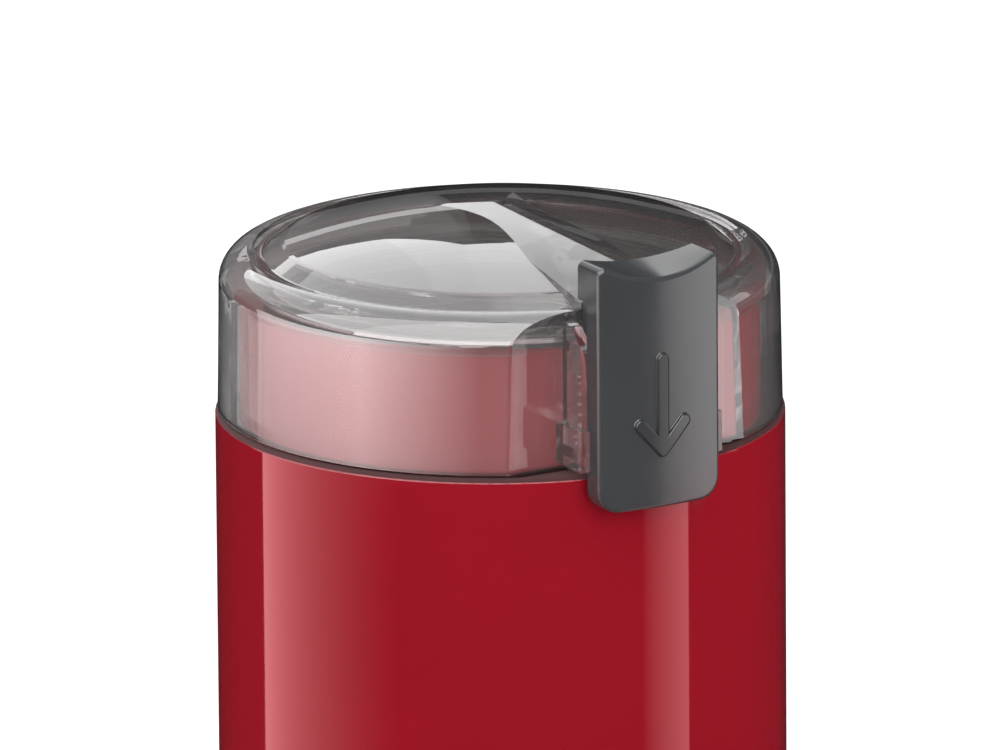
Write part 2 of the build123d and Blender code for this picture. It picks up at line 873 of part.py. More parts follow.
with BuildPart() as cup_gasket:
    rod(gasket_outer, collar_top, cup_rim_low)
    rod(gasket_inner, collar_top, cup_rim_low, mode=Mode.SUBTRACT)
cup_gasket.part.label = "cup_gasket"
export_step(cup_gasket.part, "parts/cup_gasket.step")

# Seal: a grooved bush gripping the edge of the cup's hole
with BuildPart() as shaft_seal:
    rod(cup_hole_radius - running_gap, seal_bottom, seal_top)
    rod(seal_flange_radius, cup_floor_height, cup_floor_height + seal_flange_thickness)
    rod(
        seal_flange_radius,
        cup_underside - seal_flange_thickness,
        cup_underside,
    )
    rod(shaft_radius + running_gap, seal_bottom - overrun, seal_top + overrun, mode=Mode.SUBTRACT)
shaft_seal.part.label = "shaft_seal"
export_step(shaft_seal.part, "parts/shaft_seal.step")

# Rotor: shaft, armature, commutator, hub, blade and nut
with BuildPart() as motor_shaft:
    rod(journal_radius, shaft_bottom, journal_top)
    rod(shaft_radius, journal_top, stud_bottom)
    rod(stud_radius, stud_bottom, stud_top)
motor_shaft.part.label = "motor_shaft"
export_step(motor_shaft.part, "parts/motor_shaft.step")

with BuildPart() as armature_core:
    with BuildSketch(mode=Mode.PRIVATE) as lamination:
        Circle(armature_radius)
        Circle(shaft_radius, mode=Mode.SUBTRACT)
        with PolarLocations((slot_low + slot_high) / 2, slot_count):
            Rectangle(slot_high - slot_low, slot_width, mode=Mode.SUBTRACT)
        with PolarLocations(armature_radius, slot_count):
            Rectangle(2 * (armature_radius - slot_high), slot_mouth, mode=Mode.SUBTRACT)
    slab(lamination, stack_bottom, stack_top)
armature_core.part.label = "armature_core"
export_step(armature_core.part, "parts/armature_core.step")

with BuildPart() as armature_windings:
    with BuildSketch(mode=Mode.PRIVATE) as slot_bars:
        with PolarLocations((slot_low + slot_high) / 2, slot_count):
            Rectangle(slot_high - slot_low - 2 * winding_gap, slot_width - 2 * winding_gap)
    slab(slot_bars, stack_bottom - winding_root, stack_top + winding_root)
    with BuildSketch(Plane.XZ):
        for low, high in (
            (stack_bottom - winding_overhang, stack_bottom - winding_gap),
            (stack_top + winding_gap, stack_top + winding_overhang),
        ):
            with Locations(((winding_inner + winding_outer) / 2, (low + high) / 2)):
                RectangleRounded(winding_outer - winding_inner, high - low, winding_round)
    revolve(axis=Axis.Z)
armature_windings.part.label = "armature_windings"
export_step(armature_windings.part, "parts/armature_windings.step")

with BuildPart() as commutator:
    rod(commutator_radius, commutator_bottom, commutator_top)
    rod(riser_radius, commutator_top - riser_thickness, commutator_top)
    rod(shaft_radius, commutator_bottom, commutator_top, mode=Mode.SUBTRACT)
    with BuildSketch(mode=Mode.PRIVATE) as slits:
        with PolarLocations(commutator_radius, segment_count):
            Rectangle(2 * segment_depth, segment_slit)
    slab(slits, commutator_bottom, commutator_top - riser_thickness, Mode.SUBTRACT)
commutator.part.label = "commutator"
export_step(commutator.part, "parts/commutator.step")

with BuildPart() as blade_hub:
    rod(hub_radius, stud_bottom, hub_top)
    rod(stud_radius, stud_bottom, hub_top, mode=Mode.SUBTRACT)
blade_hub.part.label = "blade_hub"
export_step(blade_hub.part, "parts/blade_hub.step")

# Blade: flat in the middle, both tips bent up, each half cut slanting on its leading side
blade_top = hub_top + blade_thickness
with BuildPart() as grinding_blade:
    with BuildSketch(Plane.XZ.offset(-blade_half_width)):
        with BuildLine():
            Polyline(
                (-blade_reach, hub_top + blade_rise),
                (-blade_bend, hub_top),
                (blade_bend, hub_top),
                (blade_reach, hub_top + blade_rise),
                (blade_reach, blade_top + blade_rise),
                (blade_bend, blade_top),
                (-blade_bend, blade_top),
                (-blade_reach, blade_top + blade_rise),
                close=True,
            )
        make_face()
    extrude(amount=2 * blade_half_width)
    with BuildSketch(Plane.XY.offset(hub_top - overrun)) as blade_outline:
        with BuildLine():
            Polyline(
                (-blade_reach, -blade_half_width),
                (0, -blade_half_width),
                (blade_reach, 0),
                (blade_reach, blade_half_width),
                (0, blade_half_width),
                (-blade_reach, 0),
                close=True,
            )
        make_face()
        fillet(
            blade_outline.vertices().group_by(Axis.X)[0] + blade_outline.vertices().group_by(Axis.X)[-1],
            radius=blade_tip_round,
        )
        Circle(hub_radius)
    extrude(amount=blade_rise + blade_thickness + 2 * overrun, mode=Mode.INTERSECT)
    rod(stud_radius, hub_top, blade_top, mode=Mode.SUBTRACT)
grinding_blade.part.label = "grinding_blade"
export_step(grinding_blade.part, "parts/grinding_blade.step")

with BuildPart() as blade_nut:
    with BuildSketch(mode=Mode.PRIVATE) as hexagon:
        RegularPolygon(nut_half_flat, nut_sides, major_radius=False)
    slab(hexagon, blade_top, blade_top + nut_height)
    chamfer(blade_nut.faces().sort_by(Axis.Z)[-1].edges(), length=nut_chamfer)
    rod(stud_radius, blade_top, stud_top, mode=Mode.SUBTRACT)
blade_nut.part.label = "blade_nut"
export_step(blade_nut.part, "parts/blade_nut.step")

# Stator: frame with two poles, and a coil round each pole
with BuildSketch() as pole_shoes:
    Circle(shoe_radius)
    Rectangle(2 * shoe_radius, 2 * shoe_half_y, mode=Mode.INTERSECT)
    Rectangle(2 * (shoe_radius - shoe_half_y), 2 * shoe_radius, mode=Mode.SUBTRACT)
with BuildPart() as stator_core:
    with BuildSketch(mode=Mode.PRIVATE) as stator_sheet:
        RectangleRounded(2 * stator_half_x, 2 * stator_half_y, stator_corner)
        RectangleRounded(2 * window_half_x, 2 * window_half_y, window_corner, mode=Mode.SUBTRACT)
        Rectangle(2 * window_half_x + running_gap, 2 * pole_half_y)
        add(pole_shoes.sketch)
        Circle(bore_radius, mode=Mode.SUBTRACT)
        with Locations((-screw_side, 0), (screw_side, 0)):
            Circle(motor_screw_radius + sliding_gap, mode=Mode.SUBTRACT)
    slab(stator_sheet, stack_bottom, stack_top)
stator_core.part.label = "stator_core"
export_step(stator_core.part, "parts/stator_core.step")

stack_middle = (stack_bottom + stack_top) / 2
coil_hole_y = 2 * (pole_half_y + coil_gap)
coil_hole_z = stack_top - stack_bottom + 2 * coil_gap
with BuildPart() as field_coils:
    for side in (-1, 1):
        with BuildSketch(Plane.YZ.offset(side * coil_inner_x)):
            with Locations((0, stack_middle)):
                RectangleRounded(coil_hole_y + 2 * coil_build, coil_hole_z + 2 * coil_overhang, coil_corner)
                RectangleRounded(coil_hole_y, coil_hole_z, coil_hole_corner, mode=Mode.SUBTRACT)
        extrude(amount=side * (coil_outer_x - coil_inner_x))
field_coils.part.label = "field_coils"
export_step(field_coils.part, "parts/field_coils.step")

# Brackets: a bar with a cup for the bearing and a post on each motor screw
bearing_cup_radius = bearing_radius + bearing_cup_wall
with BuildSketch() as bracket_bar:
    RectangleRounded(2 * bracket_half_x, 2 * bracket_half_y, bracket_post)
with BuildPart() as top_bracket:
    slab(bracket_bar, top_bracket_low, top_bracket_low + bracket_thickness)
    rod(bearing_cup_radius, top_bracket_low, top_bearing_high)
    rod(bearing_radius, top_bearing_low, top_bearing_high, mode=Mode.SUBTRACT)
    rod(shaft_radius + sliding_gap, top_bracket_low, top_bearing_low, mode=Mode.SUBTRACT)
    for side in (-1, 1):
        rod(bracket_post, stack_top, top_bracket_low, side * screw_side)
        rod(
            motor_screw_radius + sliding_gap,
            stack_top,
            top_bracket_low + bracket_thickness,
            side * screw_side,
            mode=Mode.SUBTRACT,
        )
top_bracket.part.label = "top_bracket"
export_step(top_bracket.part, "parts/top_bracket.step")

with BuildPart() as bottom_bracket:
    slab(bracket_bar, bottom_bracket_low, bottom_bracket_low + bracket_thickness)
    rod(bearing_cup_radius, shaft_bottom - bracket_thickness, bottom_bracket_low)
    rod(bearing_radius, bottom_bearing_low, bottom_bracket_low + bracket_thickness, mode=Mode.SUBTRACT)
    rod(journal_radius + sliding_gap, shaft_bottom - running_gap, bottom_bearing_low, mode=Mode.SUBTRACT)
    for side in (-1, 1):
        rod(bracket_post, bottom_bracket_low + bracket_thickness, stack_bottom, side * screw_side)
        rod(
            motor_screw_radius + sliding_gap,
            bottom_bracket_low,
            stack_bottom,
            side * screw_side,
            mode=Mode.SUBTRACT,
        )
bottom_bracket.part.label = "bottom_bracket"
export_step(bottom_bracket.part, "parts/bottom_bracket.step")

with BuildPart() as top_bearing:
    rod(bearing_radius, top_bearing_low, top_bearing_high)
    chamfer(top_bearing.edges(), length=bearing_chamfer)
    rod(shaft_radius + running_gap, top_bearing_low, top_bearing_high, mode=Mode.SUBTRACT)
top_bearing.part.label = "top_bearing"
export_step(top_bearing.part, "parts/top_bearing.step")

with BuildPart() as bottom_bearing:
    rod(bearing_radius, bottom_bearing_low, bottom_bearing_high)
    chamfer(bottom_bearing.edges(), length=bearing_chamfer)
    rod(journal_radius + running_gap, bottom_bearing_low, bottom_bearing_high, mode=Mode.SUBTRACT)
bottom_bearing.part.label = "bottom_bearing"
export_step(bottom_bearing.part, "parts/bottom_bearing.step")

with BuildPart() as motor_screws:
    for side in (-1, 1):
        rod(
            motor_screw_head,
            bottom_bracket_low - motor_screw_head_height,
            bottom_bracket_low,
            side * screw_side,
        )
        rod(motor_screw_radius, bottom_bracket_low, motor_screw_top, side * screw_side)
motor_screws.part.label = "motor_screws"
export_step(motor_screws.part, "parts/motor_screws.step")

with BuildPart() as motor_dampers:
    for side in (-1, 1):
        rod(damper_radius, top_bracket_low + bracket_thickness, deck_low, side * screw_side)
        rod(
            motor_screw_radius + sliding_gap,
            top_bracket_low + bracket_thickness,
            deck_low,
            side * screw_side,
            mode=Mode.SUBTRACT,
        )
motor_dampers.part.label = "motor_dampers"
export_step(motor_dampers.part, "parts/motor_dampers.step")

# Brush gear in front of and behind the commutator, on an insulating plate
brush_plate_low = bottom_bracket_low + bracket_thickness
holder_low = brush_height - brush_half_height - holder_wall
with BuildPart() as brush_plate:
    rod(brush_plate_radius, brush_plate_low, brush_plate_low + brush_plate_thickness)
    for side in (-1, 1):
        y_low, y_high = sorted((side * holder_inner, side * holder_outer))
        block(
            -brush_half_width - holder_wall,
            brush_half_width + holder_wall,
            y_low,
            y_high,
            brush_plate_low,
            holder_low,
        )
    rod(brush_plate_hole, brush_plate_low, holder_low, mode=Mode.SUBTRACT)
brush_plate.part.label = "brush_plate"
export_step(brush_plate.part, "parts/brush_plate.step")

with BuildPart() as brush_holders:
    for side in (-1, 1):
        y_low, y_high = sorted((side * holder_inner, side * holder_outer))
        block(
            -brush_half_width - holder_wall,
            brush_half_width + holder_wall,
            y_low,
            y_high,
            holder_low,
            brush_height + brush_half_height + holder_wall,
        )
        y_low, y_high = sorted((side * (holder_inner - overrun), side * (holder_outer - holder_cap)))
        block(
            -brush_half_width - running_gap,
            brush_half_width + running_gap,
            y_low,
            y_high,
            brush_height - brush_half_height - running_gap,
            brush_height + brush_half_height + running_gap,
            Mode.SUBTRACT,
        )
brush_holders.part.label = "brush_holders"
export_step(brush_holders.part, "parts/brush_holders.step")

with BuildPart() as carbon_brushes:
    for side in (-1, 1):
        y_low, y_high = sorted((side * (commutator_radius - overrun), side * brush_back))
        block(
            -brush_half_width,
            brush_half_width,
            y_low,
            y_high,
            brush_height - brush_half_height,
            brush_height + brush_half_height,
        )
    rod(commutator_radius + running_gap, commutator_bottom, commutator_top, mode=Mode.SUBTRACT)
carbon_brushes.part.label = "carbon_brushes"
export_step(carbon_brushes.part, "parts/carbon_brushes.step")

with BuildPart() as brush_spring:
    coil(
        brush_spring_radius,
        brush_spring_wire,
        holder_outer - holder_cap - brush_back - 2 * running_gap,
        brush_spring_turns,
    )
with BuildPart() as brush_springs:
    for side in (-1, 1):
        place = Plane(
            origin=(0, side * (brush_back + running_gap), brush_height), x_dir=(1, 0, 0), z_dir=(0, side, 0)
        )
        add(brush_spring.part.moved(place.location))
brush_springs.part.label = "brush_springs"
export_step(brush_springs.part, "parts/brush_springs.step")

# Inner floor with bosses for the motor screws, a guide for the switch rod and a wall for the switch
with BuildPart() as motor_deck:
    rod(deck_radius, deck_low, deck_top)
    rod(rod_guide_radius, deck_low, deck_boss_top, 0, -rod_reach)
    for side in (-1, 1):
        rod(deck_boss_radius, deck_low, deck_boss_top, side * screw_side)
        rod(
            motor_screw_radius + thread_gap,
            deck_low,
            motor_screw_top + running_gap,
            side * screw_side,
            mode=Mode.SUBTRACT,
        )
    rod(deck_hole, deck_low, deck_top, mode=Mode.SUBTRACT)
    block(
        -switch_wall_half,
        switch_wall_half,
        switch_wall_reach - switch_wall_thickness,
        switch_wall_reach,
        switch_wall_low,
        deck_top,
    )
    rod(rod_radius + 2 * running_gap, deck_low, deck_boss_top, 0, -rod_reach, Mode.SUBTRACT)
    for index in range(boss_count):
        x, y = polar(boss_circle_radius, deck_boss_turn + index * full_turn / boss_count)
        rod(base_screw_hole, deck_low, deck_top, x, y, Mode.SUBTRACT)
    for side in (-1, 1):
        with BuildSketch(Plane.XZ.offset(switch_wall_reach - switch_wall_thickness)):
            with Locations((side * switch_screw_side, switch_screw_height)):
                Circle(switch_screw_radius + thread_gap)
        extrude(amount=switch_wall_thickness, mode=Mode.SUBTRACT)
motor_deck.part.label = "motor_deck"
export_step(motor_deck.part, "parts/motor_deck.step")

with BuildPart() as deck_screws:
    for index in range(boss_count):
        x, y = polar(boss_circle_radius, deck_boss_turn + index * full_turn / boss_count)
        rod(deck_screw_head, deck_low - deck_screw_head_height, deck_low, x, y)
        rod(base_screw_radius, deck_low, deck_screw_top, x, y)
deck_screws.part.label = "deck_screws"
export_step(deck_screws.part, "parts/deck_screws.step")

# Switch: the rod under the button's tongue, its spring, and the switch that it works
with BuildPart() as switch_rod:
    rod(rod_radius, rod_bottom, rod_cap_low, 0, -rod_reach)
    block(-rod_cap_half, rod_cap_half, rod_cap_back_reach, rod_cap_front_reach, rod_cap_low, rod_cap_top)
switch_rod.part.label = "switch_rod"
export_step(switch_rod.part, "parts/switch_rod.step")

with BuildPart() as rod_spring:
    coil(
        rod_spring_radius, rod_spring_wire, rod_cap_low - deck_boss_top - 2 * running_gap, rod_spring_turns
    )
spring_place = Location((0, -rod_reach, deck_boss_top + running_gap))
placed_spring = rod_spring.part.moved(spring_place)
placed_spring.label = "rod_spring"
export_step(placed_spring, "parts/rod_spring.step")

with BuildPart() as switch_plunger:
    rod(plunger_radius, plunger_bottom, rod_bottom, 0, -rod_reach)
switch_plunger.part.label = "switch_plunger"
export_step(switch_plunger.part, "parts/switch_plunger.step")

with BuildPart() as switch_body:
    block(-switch_half, switch_half, switch_wall_reach, switch_front_reach, switch_low, switch_high)
    fillet(switch_body.edges().filter_by(Axis.Z), radius=switch_edge_round)
    rod(plunger_radius + 2 * running_gap, plunger_hole_bottom, switch_high, 0, -rod_reach, Mode.SUBTRACT)
    with BuildSketch(Plane.XZ.offset(switch_wall_reach)):
        with Locations((-switch_screw_side, switch_screw_height), (switch_screw_side, switch_screw_height)):
            Circle(switch_screw_radius + thread_gap)
    extrude(amount=switch_front_reach - switch_wall_reach, mode=Mode.SUBTRACT)
    for side in (-1, 1):
        block(
            side * terminal_side - terminal_half_width - running_gap,
            side * terminal_side + terminal_half_width + running_gap,
            rod_reach - terminal_half_thickness - running_gap,
            rod_reach + terminal_half_thickness + running_gap,
            switch_low,
            switch_low + terminal_root,
            Mode.SUBTRACT,
        )
switch_body.part.label = "switch_body"
export_step(switch_body.part, "parts/switch_body.step")

with BuildPart() as switch_terminals:
    for side in (-1, 1):
        block(
            side * terminal_side - terminal_half_width,
            side * terminal_side + terminal_half_width,
            rod_reach - terminal_half_thickness,
            rod_reach + terminal_half_thickness,
            terminal_bottom,
            switch_low + terminal_root,
        )
switch_terminals.part.label = "switch_terminals"
export_step(switch_terminals.part, "parts/switch_terminals.step")

with BuildPart() as switch_screws:
    with BuildSketch(Plane.XZ.offset(switch_wall_reach - switch_wall_thickness)):
        with Locations((-switch_screw_side, switch_screw_height), (switch_screw_side, switch_screw_height)):
            Circle(switch_screw_radius)
    extrude(amount=switch_front_reach - switch_wall_reach + switch_wall_thickness)
    with BuildSketch(Plane.XZ.offset(switch_front_reach)):
        with Locations((-switch_screw_side, switch_screw_height), (switch_screw_side, switch_screw_height)):
            Circle(switch_screw_head)
    extrude(amount=switch_screw_head_height)
switch_screws.part.label = "switch_screws"
export_step(switch_screws.part, "parts/switch_screws.step")

with BuildPart() as suppression_capacitor:
    block(
        -capacitor_half_x,
        capacitor_half_x,
        -capacitor_y - capacitor_half_y,
        -capacitor_y + capacitor_half_y,
        deck_low - capacitor_height,
        deck_low,
    )
    fillet(suppression_capacitor.edges().filter_by(Axis.Z), radius=capacitor_round)
suppression_capacitor.part.label = "suppression_capacitor"
export_step(suppression_capacitor.part, "parts/suppression_capacitor.step")

# Underside: cover with vents, its screws and the foot ring
foot_seat = cover_bottom + foot_sunk
screw_head_top = cover_bottom + base_screw_head_height
with BuildPart() as base_cover:
    rod(cover_radius, cover_bottom, shell_bottom)
    chamfer(base_cover.edges().sort_by(Axis.Z)[0], length=cover_edge_chamfer)
    rod(spigot_radius, shell_bottom, spigot_top)
    rod(spigot_radius - spigot_wall, shell_bottom, spigot_top, mode=Mode.SUBTRACT)
    with BuildSketch(mode=Mode.PRIVATE) as foot_groove:
        Circle(foot_outer + running_gap)
        Circle(foot_inner - running_gap, mode=Mode.SUBTRACT)
    slab(foot_groove, cover_bottom, foot_seat, Mode.SUBTRACT)
    for index in range(boss_count):
        x, y = polar(boss_circle_radius, base_boss_turn + index * full_turn / boss_count)
        rod(boss_radius - 2 * sliding_gap, shell_bottom, base_boss_bottom, x, y)
        rod(base_screw_hole, cover_bottom, base_boss_bottom, x, y, Mode.SUBTRACT)
        rod(base_screw_head + sliding_gap, cover_bottom, screw_head_top, x, y, Mode.SUBTRACT)
    with BuildSketch(mode=Mode.PRIVATE) as vents:
        with PolarLocations((vent_inner + vent_outer) / 2, vent_count):
            SlotOverall(vent_outer - vent_inner, vent_width)
    slab(vents, cover_bottom, shell_bottom, Mode.SUBTRACT)
base_cover.part.label = "base_cover"
export_step(base_cover.part, "parts/base_cover.step")

with BuildPart() as base_screws:
    for index in range(boss_count):
        x, y = polar(boss_circle_radius, base_boss_turn + index * full_turn / boss_count)
        rod(base_screw_head, cover_bottom, screw_head_top, x, y)
        rod(base_screw_radius, screw_head_top, base_screw_top, x, y)
base_screws.part.label = "base_screws"
export_step(base_screws.part, "parts/base_screws.step")

with BuildPart() as foot_ring:
    rod(foot_outer, 0, foot_seat)
    rod(foot_inner, 0, foot_seat, mode=Mode.SUBTRACT)
    fillet(foot_ring.edges().group_by(Axis.Z)[0], radius=foot_edge_round)
foot_ring.part.label = "foot_ring"
export_step(foot_ring.part, "parts/foot_ring.step")

# Cord gland with an oval inlet
gland_outer = gland_seat + gland_flange_thickness
gland_lip_outer = shell_inner - loose_gap
gland_inner = gland_lip_outer - gland_lip_thickness
with BuildPart() as cord_gland:
    for radius, start, end in (
        (gland_flange_radius, gland_seat, gland_outer),
        (gland_neck_radius, gland_lip_outer, gland_seat),
        (gland_lip_radius, gland_inner, gland_lip_outer),
    ):
        with BuildSketch(Plane.XZ.offset(-start)):
            with Locations((0, gland_height)):
                Circle(radius)
        extrude(amount=-(end - start))
    with BuildSketch(Plane.XZ.offset(-gland_outer)):
        with Locations((0, gland_height)):
            SlotOverall(inlet_length, inlet_width)
    extrude(amount=gland_outer - gland_inner, mode=Mode.SUBTRACT)
cord_gland.part.label = "cord_gland"
export_step(cord_gland.part, "parts/cord_gland.step")
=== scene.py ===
import json
from math import cos, pi, radians, sin

import bmesh
import bpy
from mathutils import Matrix, Vector


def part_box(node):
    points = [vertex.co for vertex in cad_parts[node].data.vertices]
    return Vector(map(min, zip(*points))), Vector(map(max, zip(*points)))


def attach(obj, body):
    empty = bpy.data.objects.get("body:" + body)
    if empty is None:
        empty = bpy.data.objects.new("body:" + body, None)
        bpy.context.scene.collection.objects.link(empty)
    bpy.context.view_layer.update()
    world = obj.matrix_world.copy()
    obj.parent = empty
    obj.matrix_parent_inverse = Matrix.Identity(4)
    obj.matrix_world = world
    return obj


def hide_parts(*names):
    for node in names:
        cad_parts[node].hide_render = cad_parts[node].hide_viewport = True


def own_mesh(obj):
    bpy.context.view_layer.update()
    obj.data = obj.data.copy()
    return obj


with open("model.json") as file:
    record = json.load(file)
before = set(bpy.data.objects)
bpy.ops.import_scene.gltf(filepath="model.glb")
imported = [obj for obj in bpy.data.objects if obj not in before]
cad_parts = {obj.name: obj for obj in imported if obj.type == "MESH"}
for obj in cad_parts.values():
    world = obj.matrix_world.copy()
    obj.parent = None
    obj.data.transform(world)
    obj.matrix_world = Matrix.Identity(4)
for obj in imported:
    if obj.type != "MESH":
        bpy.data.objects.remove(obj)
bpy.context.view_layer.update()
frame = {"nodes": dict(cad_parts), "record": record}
nodes = frame["nodes"]
scene = bpy.context.scene
scene.view_settings.view_transform = "Standard"

# Camera: a long lens, looking down on the lid from the left of the button
view_azimuth = radians(-30.1)
view_elevation = 15.17
view_roll = radians(-0.43)
view_distance = 3.0
picture_width = 0.15773
sensor_width = 36.0
aim = Vector((0, 0, 0.14579))

# Lid plastic: clear in the wall, darker in the dome
wall_dark = (0.92, 0.905, 0.905, 1)
wall_light = (0.97, 0.955, 0.955, 1)
dome_dark = (0.68, 0.655, 0.655, 1)
dome_light = (0.73, 0.705, 0.705, 1)
# The lid's lowest band, up to the two heights below, is painted dark: painted shade of the shadow gap at
# the seam
foot_painted_shade = (0.2, 0.12, 0.12, 1)
edge_low = 0.1414
edge_high = 0.142
tint_low = 0.158
tint_high = 0.169

# Rim of the shell at the seam: dull, and painted darker as painted shade of the gap under the lid
rim_low = 0.1406
rim_high = 0.1412
rim_fade = 0.0002
rim_roughness = 1.0
rim_painted_shade = 0.12

# Arrow on the button's front, across and up
arrow_points = {"top": (0, 0.15995), "tip": (0, 0.1453), "barb": (0.00395, 0.14965)}
arrow_edge = (0.00072, 0.00118)
arrow_rise = 0.00035
button_front = -0.046

# Springs, in metres: where they stand, radius of the coil and of the wire, and the length kept when pressed
button_spring = {
    "places": ((-0.0072, -0.0416), (0.0072, -0.0416)),
    "radius": 0.0015,
    "wire": 0.00025,
    "keep": 0.655,
}
rod_spring = {"places": ((0, -0.0378),), "radius": 0.0033, "wire": 0.0003, "keep": 0.727}
spring_turns = 8
wire_sides = 12
turn_steps = 32
end_turn_rise = 2.1
merge_distance = 1e-7

# Studio, in metres. Azimuths count from the camera, positive towards the picture's right
lid_middle = Vector((0, 0, 0.16))
floor_radius = 4.0
floor_sides = 64
floor_colour = (0.5, 0.5, 0.5, 1)
floor_glow = 0.62
ambient_level = 0.82
softbox_distance = 2.0
strip_foot = -0.5
card_reaches = (0.35, 0.75)
card_lift = 0.001
stage_steps = 24
rise_steps = 16
card_level = 0.3
card_steps = 8
fade_level = 0.7
fade_start = -115
fade_turn = 6
front_card_end = 50
side_card_azimuths = (95, 178)
side_card_level = 0.04
flag_distance = 0.3
flag_height = 0.35
dark_wall_radius = 9.0
dark_wall_level = 0.1
dark_floor_level = 0.015
strip_distance = 0.3
body_radius = 0.045

# Flags behind the lid: sides and level
flags = {"left_flag": ((-0.3, -0.02), 0.38), "right_flag": ((-0.02, 0.3), 0.02)}

# Strips that the body and the button mirror: side angles, heights, level, power, share at the foot, colour
red_strip = (1, 0.45, 0.47, 1)
body_strips = {
    "left_strip": ((-20, -56.3), (strip_foot, 0.0597), 5.0, 1.5, 1.0, red_strip),
    "right_strip": ((29.5, 40.8), (strip_foot, 0.052), 4.0, 0.8, 1.0, red_strip),
    "button_strip": ((29.5, 45), (0.052, 0.13), 3.9, 0.35),
}

# Strips that the lid's wall mirrors: side angles and power, pink below and white above
pink_strip = (1, 0.83, 0.83, 1)
lid_strips = {"lid_strip": ((-4, -29.4), 1.1), "lid_side_strip": ((-59, -29.4), 0.5)}
lid_strip_heights = (0.0602, 0.0931, 0.165)
lid_strip_level = 6.0
lid_strip_foot = 0.4

# Softboxes over the lid: azimuths, lower edge at each, upper edge and level; the last one is a shade
softboxes = {
    "front_back_softbox": ((-200, -186), (44, 36), 88, 2.5),
    "back_softbox": ((-186, -177), (33, 33), 88, 2.5),
    "bend_softbox": ((-177, -172), (33, 26), 88, 2.4),
    "ridge_softbox": ((-172, -165), (26, 22), 88, 2.2),
    "ridge_side_softbox": ((-165, -150), (22, 21), 88, 2.0),
    "left_low_softbox": ((-150, -95), (21, 22), 35, 1.1),
    "left_high_softbox": ((-150, -95), (35, 35), 88, 2.0),
    "side_softbox": ((-95, -60), (20, 14), 88, 4.2),
    "front_softbox": ((-60, 45), (4, 4), 88, 5.2),
    "top_softbox": ((45, 160), (70, 70), 88, 2.8),
    "thin_softbox": ((-178, -163), (13, 13), 16, 0.7),
    "right_softbox": ((95, 125), (8, 8), 22, 1.2),
    "right_shade": ((128, 182), (4, 4), 32.5, 0.02),
}

# Lamps: azimuth, elevation, distance, size and power
lamps = {
    "key_lamp": (25, 20, 1.2, 0.6, 4.5),
    "fill_lamp": (-50, 20, 1.2, 0.6, 2.0),
    "top_lamp": (-30, 65, 1.3, 0.8, 3.0),
    "left_side_lamp": (-120, 15, 1.2, 0.6, 3.5),
    "right_side_lamp": (120, 15, 1.2, 0.6, 3.5),
}


def heading(azimuth, elevation=0):
    """Unit vector from the object at an azimuth counted from the camera."""
    turn = view_azimuth + radians(azimuth)
    rise = radians(elevation)
    return Vector((sin(turn) * cos(rise), -cos(turn) * cos(rise), sin(rise)))


def add_camera():
    data = bpy.data.cameras.new("camera")
    data.sensor_width = sensor_width
    data.lens = sensor_width * view_distance / picture_width
    data.clip_start = 0.1
    data.clip_end = 100
    camera = bpy.data.objects.new("camera", data)
    scene.collection.objects.link(camera)
    back = heading(0, view_elevation)
    turn = (-back).to_track_quat("-Z", "Y").to_matrix().to_4x4() @ Matrix.Rotation(view_roll, 4, "Z")
    camera.matrix_world = Matrix.Translation(aim + back * view_distance) @ turn
    scene.camera = camera


# Node helpers


def add_node(tree, kind, links=None, **settings):
    """New node with its settings.

    links maps an input's name or number to a value or to another node's socket.
    """
    made = tree.nodes.new(kind)
    for name, value in settings.items():
        setattr(made, name, value)
    for name, value in (links or {}).items():
        if isinstance(value, bpy.types.NodeSocket):
            tree.links.new(value, made.inputs[name])
        else:
            made.inputs[name].default_value = value
    return made


def new_group(name, inputs, outputs):
    """Empty shader node group; inputs maps a name to its default."""
    tree = bpy.data.node_groups.new(name, "ShaderNodeTree")
    for label, default in inputs.items():
        kind = "NodeSocketColor" if isinstance(default, tuple) else "NodeSocketFloat"
        socket = tree.interface.new_socket(name=label, in_out="INPUT", socket_type=kind)
        socket.default_value = default
    for label, kind in outputs.items():
        tree.interface.new_socket(name=label, in_out="OUTPUT", socket_type=kind)
    return tree, tree.nodes.new("NodeGroupInput"), tree.nodes.new("NodeGroupOutput")


def object_point(tree):
    return tree.nodes.new("ShaderNodeTexCoord").outputs["Object"]


def either(tree, first, second):
    return add_node(tree, "ShaderNodeMath", {0: first, 1: second}, operation="MAXIMUM").outputs["Value"]


def mix_colours(tree, share, first, second):
    """Socket of a colour between two, each a colour or a socket."""
    made = tree.nodes.new("ShaderNodeMix")
    made.data_type = "RGBA"
    for place, value in ((0, share), (6, first), (7, second)):
        if isinstance(value, bpy.types.NodeSocket):
            tree.links.new(value, made.inputs[place])
        else:
            made.inputs[place].default_value = value
    return made.outputs[2]


# Effects that several finishes share


def make_tone_group():
    """Colour that drifts slowly between two shades, and a roughness that drifts with smudges."""
    tree, given, out = new_group(
        "tone_drift",
        {"Dark": (0, 0, 0, 1), "Light": (1, 1, 1, 1), "Scale": 40.0, "Smooth": 0.1, "Rough": 0.2},
        {"Colour": "NodeSocketColor", "Roughness": "NodeSocketFloat"},
    )
    point = object_point(tree)
    drift = add_node(
        tree, "ShaderNodeTexNoise", {"Vector": point, "Scale": given.outputs["Scale"], "Detail": 3.0}
    )
    smudge = add_node(
        tree, "ShaderNodeTexNoise", {"Vector": point, "Scale": 95.0, "Detail": 5.0, "Distortion": 0.6}
    )
    spread = add_node(
        tree, "ShaderNodeMapRange", {"Value": drift.outputs["Fac"], "From Min": 0.3, "From Max": 0.7}
    )
    mixed = mix_colours(tree, spread.outputs["Result"], given.outputs["Dark"], given.outputs["Light"])
    rough = add_node(
        tree,
        "ShaderNodeMapRange",
        {
            "Value": smudge.outputs["Fac"],
            "From Min": 0.35,
            "From Max": 0.7,
            "To Min": given.outputs["Smooth"],
            "To Max": given.outputs["Rough"],
        },
    )
    tree.links.new(mixed, out.inputs["Colour"])
    tree.links.new(rough.outputs["Result"], out.inputs["Roughness"])
    return tree


